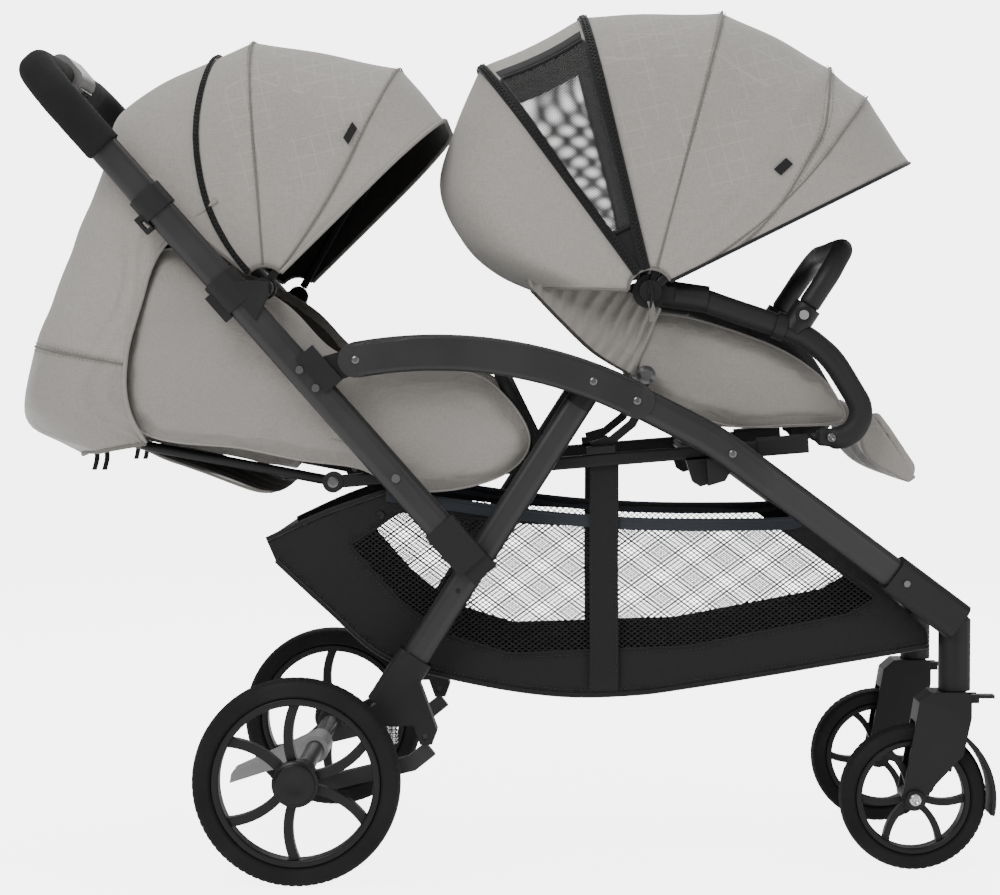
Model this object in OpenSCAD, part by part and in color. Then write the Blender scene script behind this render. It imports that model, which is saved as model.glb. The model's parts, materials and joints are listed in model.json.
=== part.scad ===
// Tandem double stroller: two seats, one behind the other, on a folding four-wheel frame.
// Millimetres. +X is forward, +Y is the child's left and +Z is up. The origin is on the
// ground, in the middle of the footprint. Side pieces are drawn on the left and mirrored.

/* [Overall] */
// Half the distance between the side arms' middle planes
frame_half = 243; // [225:1:300]
// Height of the middle of the handle bar
handle_height = 948; // [860:1:1120]
// Distance from the origin back to the handle bar
handle_back = 550; // [480:1:640]
// Distance from the rear axle to the front axle
wheelbase = 721; // [690:1:800]
// Distance from the origin back to the rear axle
rear_axle_back = 238; // [200:1:270]

/* [Tubes] */
// Height of a push tube's oval section
push_w = 36; // [28:1:44]
// Sideways thickness of the frame tubes
tube_t = 22; // [18:1:27]
// Height of a rear leg's oval section
rear_leg_w = 33; // [26:1:40]
// Height of a front leg's oval section
front_leg_w = 37; // [30:1:38]
// Wall of the frame tubes
tube_wall = 2; // [1.2:0.1:3]
// Height of a side arm
arm_w = 42; // [41:1:50]
// Sideways thickness of a side arm
arm_t = 26; // [24:1:32]
// Height of a seat rail
rail_w = 15; // [12:1:20]
// Sideways thickness of a seat rail
rail_t = 14; // [10:1:18]
// Diameter of the padded bars beside the front seat
side_bar_d = 28; // [22:1:34]

/* [Wheels] */
// Diameter of a rear tyre
rear_wheel_d = 240; // [200:1:290]
// Width of a rear tyre
rear_tyre_w = 36; // [28:1:44]
// Diameter of a front tyre
front_wheel_d = 173; // [144:1:208]
// Width of a front tyre
front_tyre_w = 34; // [26:1:40]
// Half the distance between the front wheels' middle planes
castor_half = 166; // [150:1:180]
// How far the front wheel trails behind its swivel axis
castor_trail = 49; // [40:1:59]
// Diameter of a castor's swivel stem
stem_d = 12; // [8:1:14]
// Diameter of a wheel's axle
axle_d = 10; // [8:1:12]

/* [Soft parts] */
// Width of the seats
seat_width = 318; // [265:1:320]
// Thickness of the seat cushions
cushion_t = 28; // [20:1:34]
// Reach of the rear canopy's bows from their pivot
rear_canopy_r = 300; // [250:1:330]
// Reach of the front canopy's bows from their pivot
front_canopy_r = 346; // [290:1:360]
// Wall of the canopies and of the basket
cloth_t = 4; // [2:0.5:6]

/* [Clearances] */
// Gap between pieces that move past each other or only rest together
rest_gap = 0.3; // [0.2:0.05:0.6]
// Radial play of a pin in its hole
pin_gap = 0.08; // [0.05:0.01:0.1]

/* [Hidden] */
$fn = 64;

charcoal = "#3a3a3c";
black = "#1c1c1d";
grey_cloth = "#a5a29e";
silver = "#c9cacb";

// Points in the side view are [x, z].
function unit(v) = v / norm(v);
function up_normal(v) = [v[1], -v[0]] / norm(v);
function lean(p, q) = atan2(q[0] - p[0], q[1] - p[1]);
function polar(r, a) = r * [cos(a), sin(a)];
function heading(v) = atan2(v[1], v[0]);
function arc_centre(p, q, r) =
    (p + q) / 2 + up_normal(p - q) * -sqrt(r * r - pow(norm(q - p) / 2, 2));
function along(p, q, t) = p + unit(q - p) * t;

leg_y = frame_half - arm_t / 2 - 1 - tube_t / 2;
rear_wheel_y = frame_half + arm_t / 2 + 6 + rear_tyre_w / 2;
cloth_y = leg_y - tube_t / 2 - 2;
side_t = 10;
rail_y = cloth_y - side_t - 2 - rail_t / 2;

rear_axle_p = [-rear_axle_back, rear_wheel_d / 2];
front_axle_p = [wheelbase - rear_axle_back, front_wheel_d / 2];
castor_x = front_axle_p[0] + castor_trail;
handle_p = [-handle_back, handle_height];

// Side arm: one long arc from the fold hinge to the front leg
arm_hinge = [-171, 604];
arm_front = [153, 557];
arm_r = 510;
arm_c = arc_centre(arm_hinge, arm_front, arm_r);
arm_a0 = heading(arm_hinge - arm_c);
arm_a1 = heading(arm_front - arm_c);
leg_hinge_back = 55;
leg_hinge_a = arm_a1 + leg_hinge_back / arm_r * 180 / PI;
leg_hinge = arm_c + polar(arm_r, leg_hinge_a);
hinge_pin_d = 8;
slot_w = 10;

// Rear leg, from its hinge on the side arm down to the axle housing
leg_foot = rear_axle_p + [101, 86];
lock_drop = 254;
lock_p = along(leg_hinge, leg_foot, lock_drop);
cap_l = 34;
housing_l = 62;

// Push tube, from the lock beside the rear leg up to the handle
push_len = norm(handle_p - lock_p);
knuckle_z = (arm_hinge - lock_p) * unit(handle_p - lock_p);
knuckle_x = (arm_hinge - lock_p) * up_normal(handle_p - lock_p);
push_z0 = 20;
upper_collar_z = push_len - 217;
lower_collar_z = 425;
grip_z0 = push_len - 134;
handle_bend = 68;
grip_w = 44;
grip_t = 36;
housing_half = 48;

// Front leg: leaves the arm, bends down, then bends inward to the castor
leg_in = 25;
leg_dip = 9.6;
leg_turn = 12;
leg_run = [[99, leg_dip, 300, 0], [20, leg_turn, 200, -90], [215, 0, 1, 0]];

// Seat rails, straight from the recline hinge of the rear seat to the side bars
rail_rear = [-202, 460];
rail_front = [356, 506];
rail_len = norm(rail_front - rail_rear);
push_pivot_z = 136;

// Padded side bars of the front seat
side_bar_top = [226, 676];
side_bar_lean = 90 + 18.7;
side_bar_run = [[110, 40, 120, 0], [37, 125, 30, 0]];
bumper_p = [337, 638];
bumper_lean = 33;
bumper_leg = 26;
bumper_bend = 56;
bumper_d = 26;

// Canopy pivots
front_pivot = [170, 684];
rear_pivot_x = 30;
rear_pivot_z = 403;
rear_pivot = lock_p + up_normal(handle_p - lock_p) * rear_pivot_x
    + unit(handle_p - lock_p) * rear_pivot_z;
rear_canopy_y = cloth_y + 13.5;
front_canopy_y = rail_y + side_bar_d / 2 + 14;
bow_w = 10;
bow_t = 4;

// ---------------------------------------------------------------- helpers

module both_sides() {
    children();
    mirror([0, 1, 0]) children();
}

// Stands a shape drawn along Z at p so that it points from p to q in the side view.
module aim(p, q, y = 0) {
    translate([p[0], y, p[1]]) rotate([0, lean(p, q), 0]) children();
}

module push_frame(y = frame_half) {
    aim(lock_p, handle_p, y) children();
}

module rail_frame(y = rail_y) {
    aim(rail_rear, rail_front, y) children();
}

module oval(w, t) {
    r = min(w, t) / 2;
    if (w > t) square([w - 2 * r, t], center = true);
    if (w < t) square([w, t - 2 * r], center = true);
    if (w > t) for (s = [-1, 1]) translate([s * (w / 2 - r), 0]) circle(r);
    if (w < t) for (s = [-1, 1]) translate([0, s * (t / 2 - r)]) circle(r);
    if (w == t) circle(r);
}

module soft_rect(w, h, r) {
    square([w - 2 * r, h], center = true);
    square([w, h - 2 * r], center = true);
    for (x = [-1, 1], y = [-1, 1]) translate([x * (w / 2 - r), y * (h / 2 - r)]) circle(r);
}

// A tube of oval section that follows legs of [straight, bend angle, bend radius, roll]:
// roll turns the plane of the bend about the tube, and 0 bends towards local +X.
module tube_run(w, t, legs, i = 0) {
    if (i < len(legs)) {
        run = legs[i][0];
        bend = legs[i][1];
        r = legs[i][2];
        roll = legs[i][3];
        if (run > 0) linear_extrude(run) oval(w, t);
        translate([0, 0, run]) rotate([0, 0, roll]) {
            if (bend > 0) {
                translate([r, 0, 0]) mirror([1, 0, 0]) rotate([90, 0, 0])
                    rotate_extrude(angle = bend) translate([r, 0]) rotate(roll) oval(w, t);
            }
            translate([r, 0, 0]) rotate([0, bend, 0]) translate([-r, 0, 0])
                rotate([0, 0, -roll]) tube_run(w, t, legs, i + 1);
        }
    }
}

module hollow_run(w, t, wall, legs) {
    difference() {
        tube_run(w, t, legs);
        tube_run(w - 2 * wall, t - 2 * wall, legs);
    }
}

// A hoop from side to side: up, round a bend, across, round a bend and down.
function hoop(up, r, half) = [[up, 90, r, 0], [2 * (half - r), 90, r, 0], [up, 0, 1, 0]];

// Lays a hoop so that it starts on the right side at p and leans in the side view.
module hoop_frame(p, lean_a, half) {
    translate([p[0], -half, p[1]]) rotate([0, lean_a, 0]) rotate([0, 0, 90]) children();
}

module side_plate(points, y, t) {
    translate([0, y + t / 2, 0]) rotate([90, 0, 0]) linear_extrude(t) polygon(points);
}

module cross_pin(p, d, y0, y1) {
    translate([p[0], y0, p[1]]) rotate([-90, 0, 0]) cylinder(d = d, h = y1 - y0);
}

module rivet_head(p, y, d = 9, h = 2) {
    translate([p[0], y, p[1]]) rotate([-90, 0, 0]) {
        cylinder(d = d, h = h * 0.6);
        translate([0, 0, h * 0.6]) cylinder(d1 = d, d2 = d * 0.6, h = h * 0.4);
    }
}

// Moves its children to the far end of a tube drawn by tube_run.
module run_end(legs, i = 0) {
    if (i < len(legs)) {
        r = legs[i][2];
        translate([0, 0, legs[i][0]]) rotate([0, 0, legs[i][3]]) translate([r, 0, 0])
            rotate([0, legs[i][1], 0]) translate([-r, 0, 0]) rotate([0, 0, -legs[i][3]])
            run_end(legs, i + 1) children();
    } else {
        children();
    }
}

function strip_side(p, s) = [for (i = [0 : len(p) - 1])
    let (a = i == 0 ? p[1] - p[0] : p[i] - p[i - 1],
        b = i == len(p) - 1 ? a : p[i + 1] - p[i],
        n = unit(up_normal(a) + up_normal(b)))
    p[i] + n * s / max(0.5, n * up_normal(a))];

// Outline of a band of thickness t on the upper-normal side of a chain of points
function strip(p, t) = concat(p, [for (i = [len(p) - 1 : -1 : 0]) strip_side(p, t)[i]]);

// ---------------------------------------------------------------- push bar and handle

module handle_tube() {
    up = push_len - handle_bend - upper_collar_z - 1;
    color(charcoal) hoop_frame(along(lock_p, handle_p, upper_collar_z + 1),
        lean(lock_p, handle_p), frame_half)
        hollow_run(tube_t, push_w, tube_wall, hoop(up, handle_bend, frame_half));
}

module handle_grips() {
    up = push_len - handle_bend - grip_z0;
    across = frame_half - handle_bend - housing_half - rest_gap;
    legs = [[up, 90, handle_bend, 0], [across, 0, 1, 0]];
    longer = [[up, 90, handle_bend, 0], [across + 1, 0, 1, 0]];
    color(black) both_sides() hoop_frame(along(lock_p, handle_p, grip_z0),
        lean(lock_p, handle_p), frame_half) difference() {
            tube_run(grip_t, grip_w, legs);
            translate([0, 0, -1]) linear_extrude(2) oval(tube_t + 0.2, push_w + 0.2);
            tube_run(tube_t + 0.2, push_w + 0.2, longer);
        }
}

module trigger_housing() {
    color("#4b4a49") push_frame(0) translate([0, 0, push_len]) rotate([90, 0, 0]) difference() {
        translate([0, 0, -housing_half]) linear_extrude(2 * housing_half)
            soft_rect(54, 48, 14);
        translate([0, 0, -housing_half - 1]) linear_extrude(2 * housing_half + 2)
            rotate(0) oval(push_w + 0.2, tube_t + 0.2);
        translate([0, -24, 0]) cube([26, 20, 64], center = true);
    }
}

module fold_trigger() {
    color(silver) push_frame(0) translate([0, 0, push_len - 24.5])
        cube([26 - 2 * rest_gap, 64 - 2 * rest_gap, 9], center = true);
}

module push_tubes() {
    color(charcoal) both_sides() push_frame() difference() {
        translate([0, 0, push_z0]) linear_extrude(upper_collar_z - push_z0) difference() {
            oval(push_w, tube_t);
            oval(push_w - 2 * tube_wall, tube_t - 2 * tube_wall);
        }
        for (z = knuckle_rivets) translate([0, 0, z]) rotate([90, 0, 0])
            cylinder(d = 5.2, h = 60, center = true);
    }
}

knuckle_rivets = [knuckle_z + 6, knuckle_z + 34];

module collar(z, l) {
    translate([0, 0, z - l / 2]) linear_extrude(l) difference() {
        oval(push_w + 7, tube_t + 7);
        oval(push_w + 0.2, tube_t + 0.2);
    }
}

module upper_collars() {
    color("#2a2a2c") both_sides() push_frame() {
        collar(upper_collar_z, 30);
        difference() {
            translate([-push_w / 2 - 11, -8, upper_collar_z - 24]) cube([11, 16, 22]);
            translate([-push_w / 2 - 7, -9, upper_collar_z - 20]) cube([5, 18, 11]);
            translate([0, 0, upper_collar_z - 30]) linear_extrude(40)
                oval(push_w + 3, tube_t + 3);
        }
    }
}

module lower_collars() {
    reach = rear_pivot_x;
    color("#2a2a2c") both_sides() push_frame() {
        collar(lower_collar_z, 41);
        difference() {
            union() {
                translate([-push_w / 2 - 10, -7, lower_collar_z - 24]) cube([11, 14, 36]);
                rotate([90, 0, 0]) translate([0, 0, -tube_t / 2 - 3]) linear_extrude(tube_t / 2)
                    polygon([[0, rear_pivot_z - 24], [reach, rear_pivot_z - 12],
                        [reach + 10, rear_pivot_z], [reach, rear_pivot_z + 11],
                        [0, lower_collar_z + 10]]);
                translate([reach, -tube_t / 2 - 13, rear_pivot_z]) rotate([-90, 0, 0])
                    cylinder(d = 22, h = 13 + tube_t / 2);
            }
            translate([0, 0, lower_collar_z - 60]) linear_extrude(120)
                oval(push_w + 0.2, tube_t + 0.2);
        }
        translate([reach, rear_bow_half - bow_t / 2 - 1 - frame_half, rear_pivot_z])
            rotate([-90, 0, 0]) cylinder(d = 8, h = frame_half - rear_bow_half - tube_t / 2
                - bow_t);
    }
}

module arm_knuckles() {
    tongue = slot_w - 2 * rest_gap;
    cheek = arm_t + 1.6;
    color("#2a2a2c") both_sides() push_frame() difference() {
        union() {
            translate([4, -cheek / 2, knuckle_z - 6]) cube([push_w / 2 + 8, cheek, 52]);
            translate([0, tongue / 2, 0]) rotate([90, 0, 0]) linear_extrude(tongue)
                polygon([[push_w / 2, knuckle_z - 2], [knuckle_x - 4, knuckle_z - 15],
                    [knuckle_x + 8, knuckle_z + 12], [push_w / 2, knuckle_z + 34]]);
            translate([knuckle_x, -tongue / 2, knuckle_z]) rotate([-90, 0, 0])
                cylinder(d = 32, h = tongue);
        }
        translate([0, 0, knuckle_z - 60]) linear_extrude(160)
            oval(push_w + 0.2, tube_t + 0.2);
        translate([knuckle_x, -30, knuckle_z]) rotate([-90, 0, 0])
            cylinder(d = hinge_pin_d + 2 * pin_gap, h = 60);
        for (z = knuckle_rivets) translate([0, 0, z]) rotate([90, 0, 0])
            cylinder(d = 5.2, h = 60, center = true);
    }
}

module lock_brackets() {
    color("#2a2a2c") both_sides() push_frame() difference() {
        union() {
            translate([-push_w / 2 - 2, 1 - tube_t / 2 - 2.6, 2])
                cube([push_w + 4, tube_t + 4.6, 60]);
            translate([-push_w / 2 + 4, 1 - tube_t / 2 - 2.6, -16])
                cube([push_w - 2, tube_t + 0.6, 20]);
        }
        translate([0, 0, push_z0 - 0.2]) linear_extrude(60) oval(push_w + 0.2, tube_t + 0.2);
    }
}

module push_rivets() {
    cheek = arm_t + 1.6;
    color(silver) both_sides() {
        push_frame() for (z = knuckle_rivets) {
            translate([0, 0, z]) rotate([90, 0, 0])
                cylinder(d = 5, h = cheek + 0.4, center = true);
            translate([0, cheek / 2 + 0.05, z]) rotate([-90, 0, 0]) cylinder(d = 9, h = 1.8);
        }
        push_frame() translate([0, tube_t / 2 + rest_gap, push_pivot_z]) rotate([-90, 0, 0])
            cylinder(d = 10, h = 2);
    }
}

// ---------------------------------------------------------------- chassis frame

module arm_sweep(w, t, a0, a1) {
    translate([arm_c[0], 0, arm_c[1]]) rotate([90, 0, 0]) rotate([0, 0, a0])
        rotate_extrude(angle = a1 - a0, $fn = 200) translate([arm_r, 0]) soft_rect(w, t, 6);
}

module side_arms() {
    color(charcoal) both_sides() translate([0, frame_half, 0]) difference() {
        union() {
            arm_sweep(arm_w, arm_t, arm_a1, arm_a0);
            for (p = [arm_hinge, arm_front])
                cross_pin(p, arm_w - 1, 0.5 - arm_t / 2, arm_t / 2 - 0.5);
        }
        translate([arm_hinge[0] - 30, -slot_w / 2, arm_hinge[1] - 40])
            cube([54, slot_w, 80]);
        cross_pin(arm_hinge, hinge_pin_d + 0.2, -30, 30);
        cross_pin(leg_hinge, hinge_pin_d + 0.2, -30, 30);
        front_leg_frame() translate([0, 0, -1]) linear_extrude(90)
            oval(front_leg_w + 0.2, tube_t + 0.2);
    }
}

// Drawn with y = 0 in the middle plane of the arm
module front_leg_frame() {
    start = arm_front - leg_in * up_normal(arm_front - arm_c);
    translate([start[0], 0, start[1]]) rotate([0, 90 - arm_a1 + 90, 0]) children();
}

module front_legs() {
    color(charcoal) both_sides() translate([0, frame_half, 0]) front_leg_frame()
        hollow_run(front_leg_w, tube_t, tube_wall, leg_run);
}

elbow_in = 34;
elbow_wall = 4.5;
post_d = 38;
post_z0 = front_wheel_d + 40;
post_h = 84;
cross_z = front_wheel_d + 110;

module front_elbows() {
    color(black) both_sides() difference() {
        union() {
            translate([castor_x, castor_half, post_z0]) cylinder(d = post_d, h = post_h);
            translate([castor_x, castor_half, post_z0 + post_h])
                cylinder(d1 = post_d, d2 = post_d - 12, h = 6);
            translate([0, frame_half, 0]) front_leg_frame() run_end(leg_run)
                translate([0, 0, -elbow_in]) linear_extrude(elbow_in + 68)
                soft_rect(front_leg_w + 2 * elbow_wall, tube_t + 2 * elbow_wall, 12);
        }
        translate([castor_x, castor_half, post_z0 - 1])
            cylinder(d = stem_d + 2 * pin_gap, h = 50);
        translate([0, frame_half, 0]) front_leg_frame()
            tube_run(front_leg_w + 0.2, tube_t + 0.2, leg_run);
        cross_pin([castor_x, cross_z], 22.2, 0, castor_half - post_d / 2 + 12);
    }
}

module front_cross_tube() {
    half = castor_half - post_d / 2 + 11.9;
    color(charcoal) difference() {
        cross_pin([castor_x, cross_z], 22, -half, half);
        cross_pin([castor_x, cross_z], 22 - 2 * tube_wall, -half - 1, half + 1);
    }
}

rail_knuckle_d = 25;
cross_bars = [60, 215, 425, 485];
cross_bar_d = 14;

module mid_rails() {
    color(black) both_sides() difference() {
        union() {
            rail_frame() linear_extrude(rail_len) soft_rect(rail_w, rail_t, 3);
            cross_pin(rail_rear, rail_knuckle_d, rail_y - rail_t / 2 - 0.4,
                rail_y + rail_t / 2 + 0.4);
            rail_frame() translate([0, 0, rail_len - 60]) linear_extrude(60)
                soft_rect(rail_w + 7, rail_t + 4, 4);
        }
        rail_frame() translate([0, 0, rail_len - 24]) linear_extrude(30)
            circle(d = 10.2);
        cross_pin(rail_rear, hinge_pin_d + 0.2, 0, frame_half);
    }
}

pod_z = [415, 475];
leg_pin = [263, 496];

module rail_pods() {
    inner = rail_y - rail_t / 2 - 3;
    outer = frame_half - tube_t / 2 - rest_gap;
    color(black) both_sides() {
        rail_frame(0) difference() {
            translate([0, outer, 0]) rotate([90, 0, 0]) linear_extrude(outer - inner)
                polygon([[rail_w / 2 + 0.1, pod_z[0]], [34, pod_z[0] + 6],
                    [40, pod_z[0] + 14], [34, pod_z[1] - 18], [rail_w / 2 + 0.1, pod_z[1]]]);
            translate([-20, rail_y + rail_t / 2 + 9, pod_z[0] - 40]) cube([90, 60, 62]);
        }
    }
}

module seat_cross_bars() {
    half = rail_y - rail_t / 2 - 0.1;
    color(black) {
        for (z = cross_bars) rail_frame(0) translate([0, -half, z]) rotate([-90, 0, 0])
            difference() {
                cylinder(d = cross_bar_d, h = 2 * half);
                translate([0, 0, -1]) cylinder(d = cross_bar_d - 3, h = 2 * half + 2);
            }
        both_sides() difference() {
            union() {
                side_plate(strip(strut_points, strut_t), strut_y, strut_t);
                cross_pin(back_pivot, 22, strut_y - strut_t / 2, strut_y + strut_t / 2);
                rail_frame(0) translate([-rail_w / 2 - 9, strut_y - strut_t / 2,
                    strut_foot_z]) cube([8.9, rail_y + rail_t / 2 - strut_y + strut_t / 2, 34]);
            }
            cross_pin(back_pivot, hinge_pin_d + 0.2, 0, frame_half);
        }
    }
}

// Struts that carry the front backrest's hinge
back_pivot = [166, 586];
strut_t = 10;
strut_y = rail_y - rail_t / 2 - 1;
strut_foot_z = 300;
strut_points = [[100, 507], [124, 514], [146, 532], [156, 552], [160, 580]];
seat_half = seat_width / 2;
panel_t = 9;
eye_t = 7;

module frame_rivets() {
    arm_out = frame_half + arm_t / 2;
    leg_out = frame_half + tube_t / 2;
    color(silver) both_sides() {
        cross_pin(arm_hinge, hinge_pin_d, frame_half - arm_t / 2 + 1, arm_out);
        rivet_head(arm_hinge, arm_out);
        cross_pin(leg_hinge, hinge_pin_d, leg_y - tube_t / 2 + 1, arm_out);
        rivet_head(leg_hinge, arm_out);
        rivet_head(arm_front, arm_out + rest_gap);
        rivet_head(leg_pin, leg_out + rest_gap);
        translate([0, frame_half, 0]) front_leg_frame() run_end(leg_run)
            translate([0, tube_t / 2 + elbow_wall + 0.1, -elbow_in / 2]) rotate([-90, 0, 0])
            cylinder(d = 8, h = 1.8);
        cross_pin(rail_rear, hinge_pin_d, rail_y - rail_t / 2 - 10, rail_y + rail_t / 2 + 0.5);
        rivet_head(rail_rear, rail_y + rail_t / 2 + 0.45, 13, 1.2);
        cross_pin(back_pivot, hinge_pin_d, seat_half - eye_t - 1, strut_y + strut_t / 2);
        rivet_head(back_pivot, strut_y + strut_t / 2, 22, 9);
        cross_pin(push_pivot, 12, rail_y + rail_t / 2 + rest_gap,
            frame_half - tube_t / 2 - rest_gap);
    }
}

// ---------------------------------------------------------------- front seat

module side_bar_frame(y = rail_y) {
    translate([side_bar_top[0], y, side_bar_top[1]]) rotate([0, side_bar_lean, 0]) children();
}

module front_side_bars() {
    color(black) both_sides() {
        side_bar_frame() tube_run(side_bar_d, side_bar_d, side_bar_run);
        side_bar_frame() run_end(side_bar_run) {
            linear_extrude(18) soft_rect(rail_w + 6, rail_t + 6, 4);
            cylinder(d = 10, h = 28);
        }
    }
}

function lean_dir(a) = [sin(a), cos(a)];
bumper_dir = lean_dir(bumper_lean);
socket_top = 34;
spigot_d = 15;
button_p = bumper_p + bumper_dir * 22;
button_d = 11;
button_out = 3;

module bumper_sockets() {
    color(black) both_sides() difference() {
        union() {
            translate([bumper_p[0], rail_y, bumper_p[1]]) rotate([0, bumper_lean, 0])
                cylinder(d = side_bar_d + 5, h = socket_top);
            side_bar_frame() translate([0, 0, 96]) cylinder(d = side_bar_d + 5, h = 13.5);
            cross_pin(button_p, button_d + 7, rail_y, rail_y + side_bar_d / 2 + 4);
        }
        side_bar_frame() tube_run(side_bar_d + 0.3, side_bar_d + 0.3, side_bar_run);
        translate([bumper_p[0], rail_y, bumper_p[1]]) rotate([0, bumper_lean, 0])
            translate([0, 0, 15]) cylinder(d = spigot_d + 2 * pin_gap, h = 40);
        cross_pin(button_p, button_d + 2 * rest_gap, rail_y + spigot_d / 2 + 1.5, frame_half);
    }
}

module bumper_button(s) {
    y0 = rail_y + spigot_d / 2 + 1.5 + button_out + rest_gap;
    color(silver) scale_side(s)
        cross_pin(button_p, button_d, y0, rail_y + side_bar_d / 2 + 4 + button_out);
}

module scale_side(s) {
    if (s > 0) children();
    else mirror([0, 1, 0]) children();
}

module front_bumper_bar() {
    up = bumper_leg;
    base = bumper_p + bumper_dir * (socket_top + rest_gap);
    color(black) {
        hoop_frame(base, bumper_lean, rail_y)
            tube_run(bumper_d, bumper_d, hoop(up, bumper_bend, rail_y));
        for (s = [-1, 1]) translate([base[0], s * rail_y, base[1]])
            rotate([0, bumper_lean, 0]) translate([0, 0, -17]) cylinder(d = spigot_d, h = 18);
    }
}

front_wall = [[66, 690], [150, 664], [222, 655], [318, 622], [372, 588], [398, 556],
    [403, 530], [268, 524], [205, 545], [158, 574], [140, 600]];

module front_seat() {
    color(grey_cloth) {
        both_sides() difference() {
            side_plate(front_wall, seat_half + panel_t / 2, panel_t);
            cross_pin(back_pivot, hinge_pin_d + 2 * rest_gap, 0, frame_half);
        }
        side_plate(strip([[225, 528], [300, 524], [calf_hinge[0] - 9, 527]], -cushion_t), 0,
            2 * seat_half - 2 * rest_gap);
    }
}

front_back_top = [-77, 800];

module front_seat_back() {
    color(grey_cloth) difference() {
        union() {
            aim(back_pivot, front_back_top)
                translate([-2, -seat_half + eye_t + 2, 12])
                cube([cushion_t, 2 * seat_half - 2 * eye_t - 4, 288]);
            for (s = [-1, 1]) aim(back_pivot, front_back_top, s * (seat_half - 2 - eye_t / 2))
                translate([-8, -eye_t / 2, 0]) cube([16, eye_t, 120]);
            for (s = [-1, 1]) translate([0, s * (seat_half - 2 - eye_t / 2), 0])
                cross_pin(back_pivot, 20, -eye_t / 2, eye_t / 2);
        }
        cross_pin(back_pivot, hinge_pin_d + 2 * pin_gap, -frame_half, frame_half);
    }
}

calf_hinge = [433, 543];
calf_tip = [492, 458];

module front_calf_rest() {
    color(grey_cloth) aim(calf_hinge, calf_tip)
        translate([-7, -seat_half + 4, -5]) cube([14, 2 * seat_half - 8, 104]);
}

// ---------------------------------------------------------------- canopies

// Canopy wall points at one station: up one side, round the corner and over to the middle
function arch_half(r, half, r0, corner) = concat(
    [[r0, half], [(r0 + r - corner) / 2, half]],
    [for (a = [0 : 15 : 90]) [r - corner + corner * sin(a), half - corner + corner * cos(a)]],
    [[r, 0]]);
function arch_all(r, half, r0, corner) = let (h = arch_half(r, half, r0, corner), n = len(h))
    concat(h, [for (i = [n - 2 : -1 : 0]) [h[i][0], -h[i][1]]]);
function canopy_corner(r) = min(110, r - canopy_r0 - 12);
canopy_r0 = 26;

module canopy_shell(pivot, half, t, stations) {
    n = len(arch_all(100, half, canopy_r0, 20));
    m = len(stations);
    outer = [for (s = stations) for (q = arch_all(s[1], half, canopy_r0, canopy_corner(s[1])))
        [q[0] * cos(s[0]), q[1], q[0] * sin(s[0])]];
    inner = [for (s = stations) for (q = arch_all(s[1] - t, half - t, canopy_r0,
        canopy_corner(s[1]) - t)) [q[0] * cos(s[0]), q[1], q[0] * sin(s[0])]];
    k = n * m;
    skin = [for (j = [0 : m - 2]) for (i = [0 : n - 2]) let (a = j * n + i)
        for (f = [[a, a + 1, a + n + 1], [a, a + n + 1, a + n]]) f];
    lining = [for (f = skin) [f[2] + k, f[1] + k, f[0] + k]];
    hems = [for (j = [0 : m - 2]) for (i = [0, n - 1]) let (a = j * n + i, b = a + n)
        for (f = i == 0 ? [[a, b, b + k], [a, b + k, a + k]] : [[b, a, a + k], [b, a + k, b + k]])
        f];
    edges = [for (i = [0 : n - 2]) for (j = [0, m - 1]) let (a = j * n + i, b = a + 1)
        for (f = j == 0 ? [[b, a, a + k], [b, a + k, b + k]] : [[a, b, b + k], [a, b + k, a + k]])
        f];
    translate([pivot[0], 0, pivot[1]])
        polyhedron(concat(outer, inner), concat(skin, lining, hems, edges));
}

front_stations = [[26.3, 1.015], [41.7, 1.02], [58, 0.99], [75.2, 1.005], [90, 0.985],
    [104, 0.985], [126, 0.98], [139, 0.905], [153, 0.835], [164, 0.69], [178, 0.392]];
rear_stations = [[44.5, 0.97], [60, 1.03], [78, 0.99], [94.4, 0.997], [105, 0.962],
    [118, 0.965], [130.5, 0.955], [141.5, 0.84]];

module front_canopy() {
    color(grey_cloth) canopy_shell(front_pivot, front_canopy_y, cloth_t,
        [for (s = front_stations) [s[0], s[1] * front_canopy_r]]);
}

module rear_canopy() {
    color(grey_cloth) canopy_shell(rear_pivot, rear_canopy_y, cloth_t,
        [for (s = rear_stations) [s[0], s[1] * rear_canopy_r]]);
}

module bow(pivot, angle, reach, half, hub_in) {
    corner = canopy_corner(reach) - 6;
    root = 13.1;
    start = pivot + polar(root, angle);
    hoop_frame(start, 90 - angle, half)
        tube_run(bow_t, bow_w, hoop(reach - corner - root, corner, half));
    for (s = [-1, 1]) translate([pivot[0], s * half, pivot[1]]) rotate([-90, 0, 0])
        difference() {
            translate([0, 0, -bow_t / 2 - 0.15]) cylinder(d = 26, h = bow_t + 0.3);
            cylinder(d = 8 + 2 * pin_gap, h = 20, center = true);
        }
}

front_bow_half = front_canopy_y - cloth_t - 1 - bow_t / 2;
mid_bow_half = front_bow_half - bow_t - 0.9;
rear_bow_half = rear_canopy_y - cloth_t - 1 - bow_t / 2;

module front_canopy_bow() {
    color(black) bow(front_pivot, 41.7, front_canopy_r - 2, front_bow_half);
}

module front_canopy_mid_bow() {
    color(black) bow(front_pivot, 75.2, front_canopy_r - 8, mid_bow_half);
}

module rear_canopy_bow() {
    color(black) bow(rear_pivot, 60, rear_canopy_r - 1, rear_bow_half);
}

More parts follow.
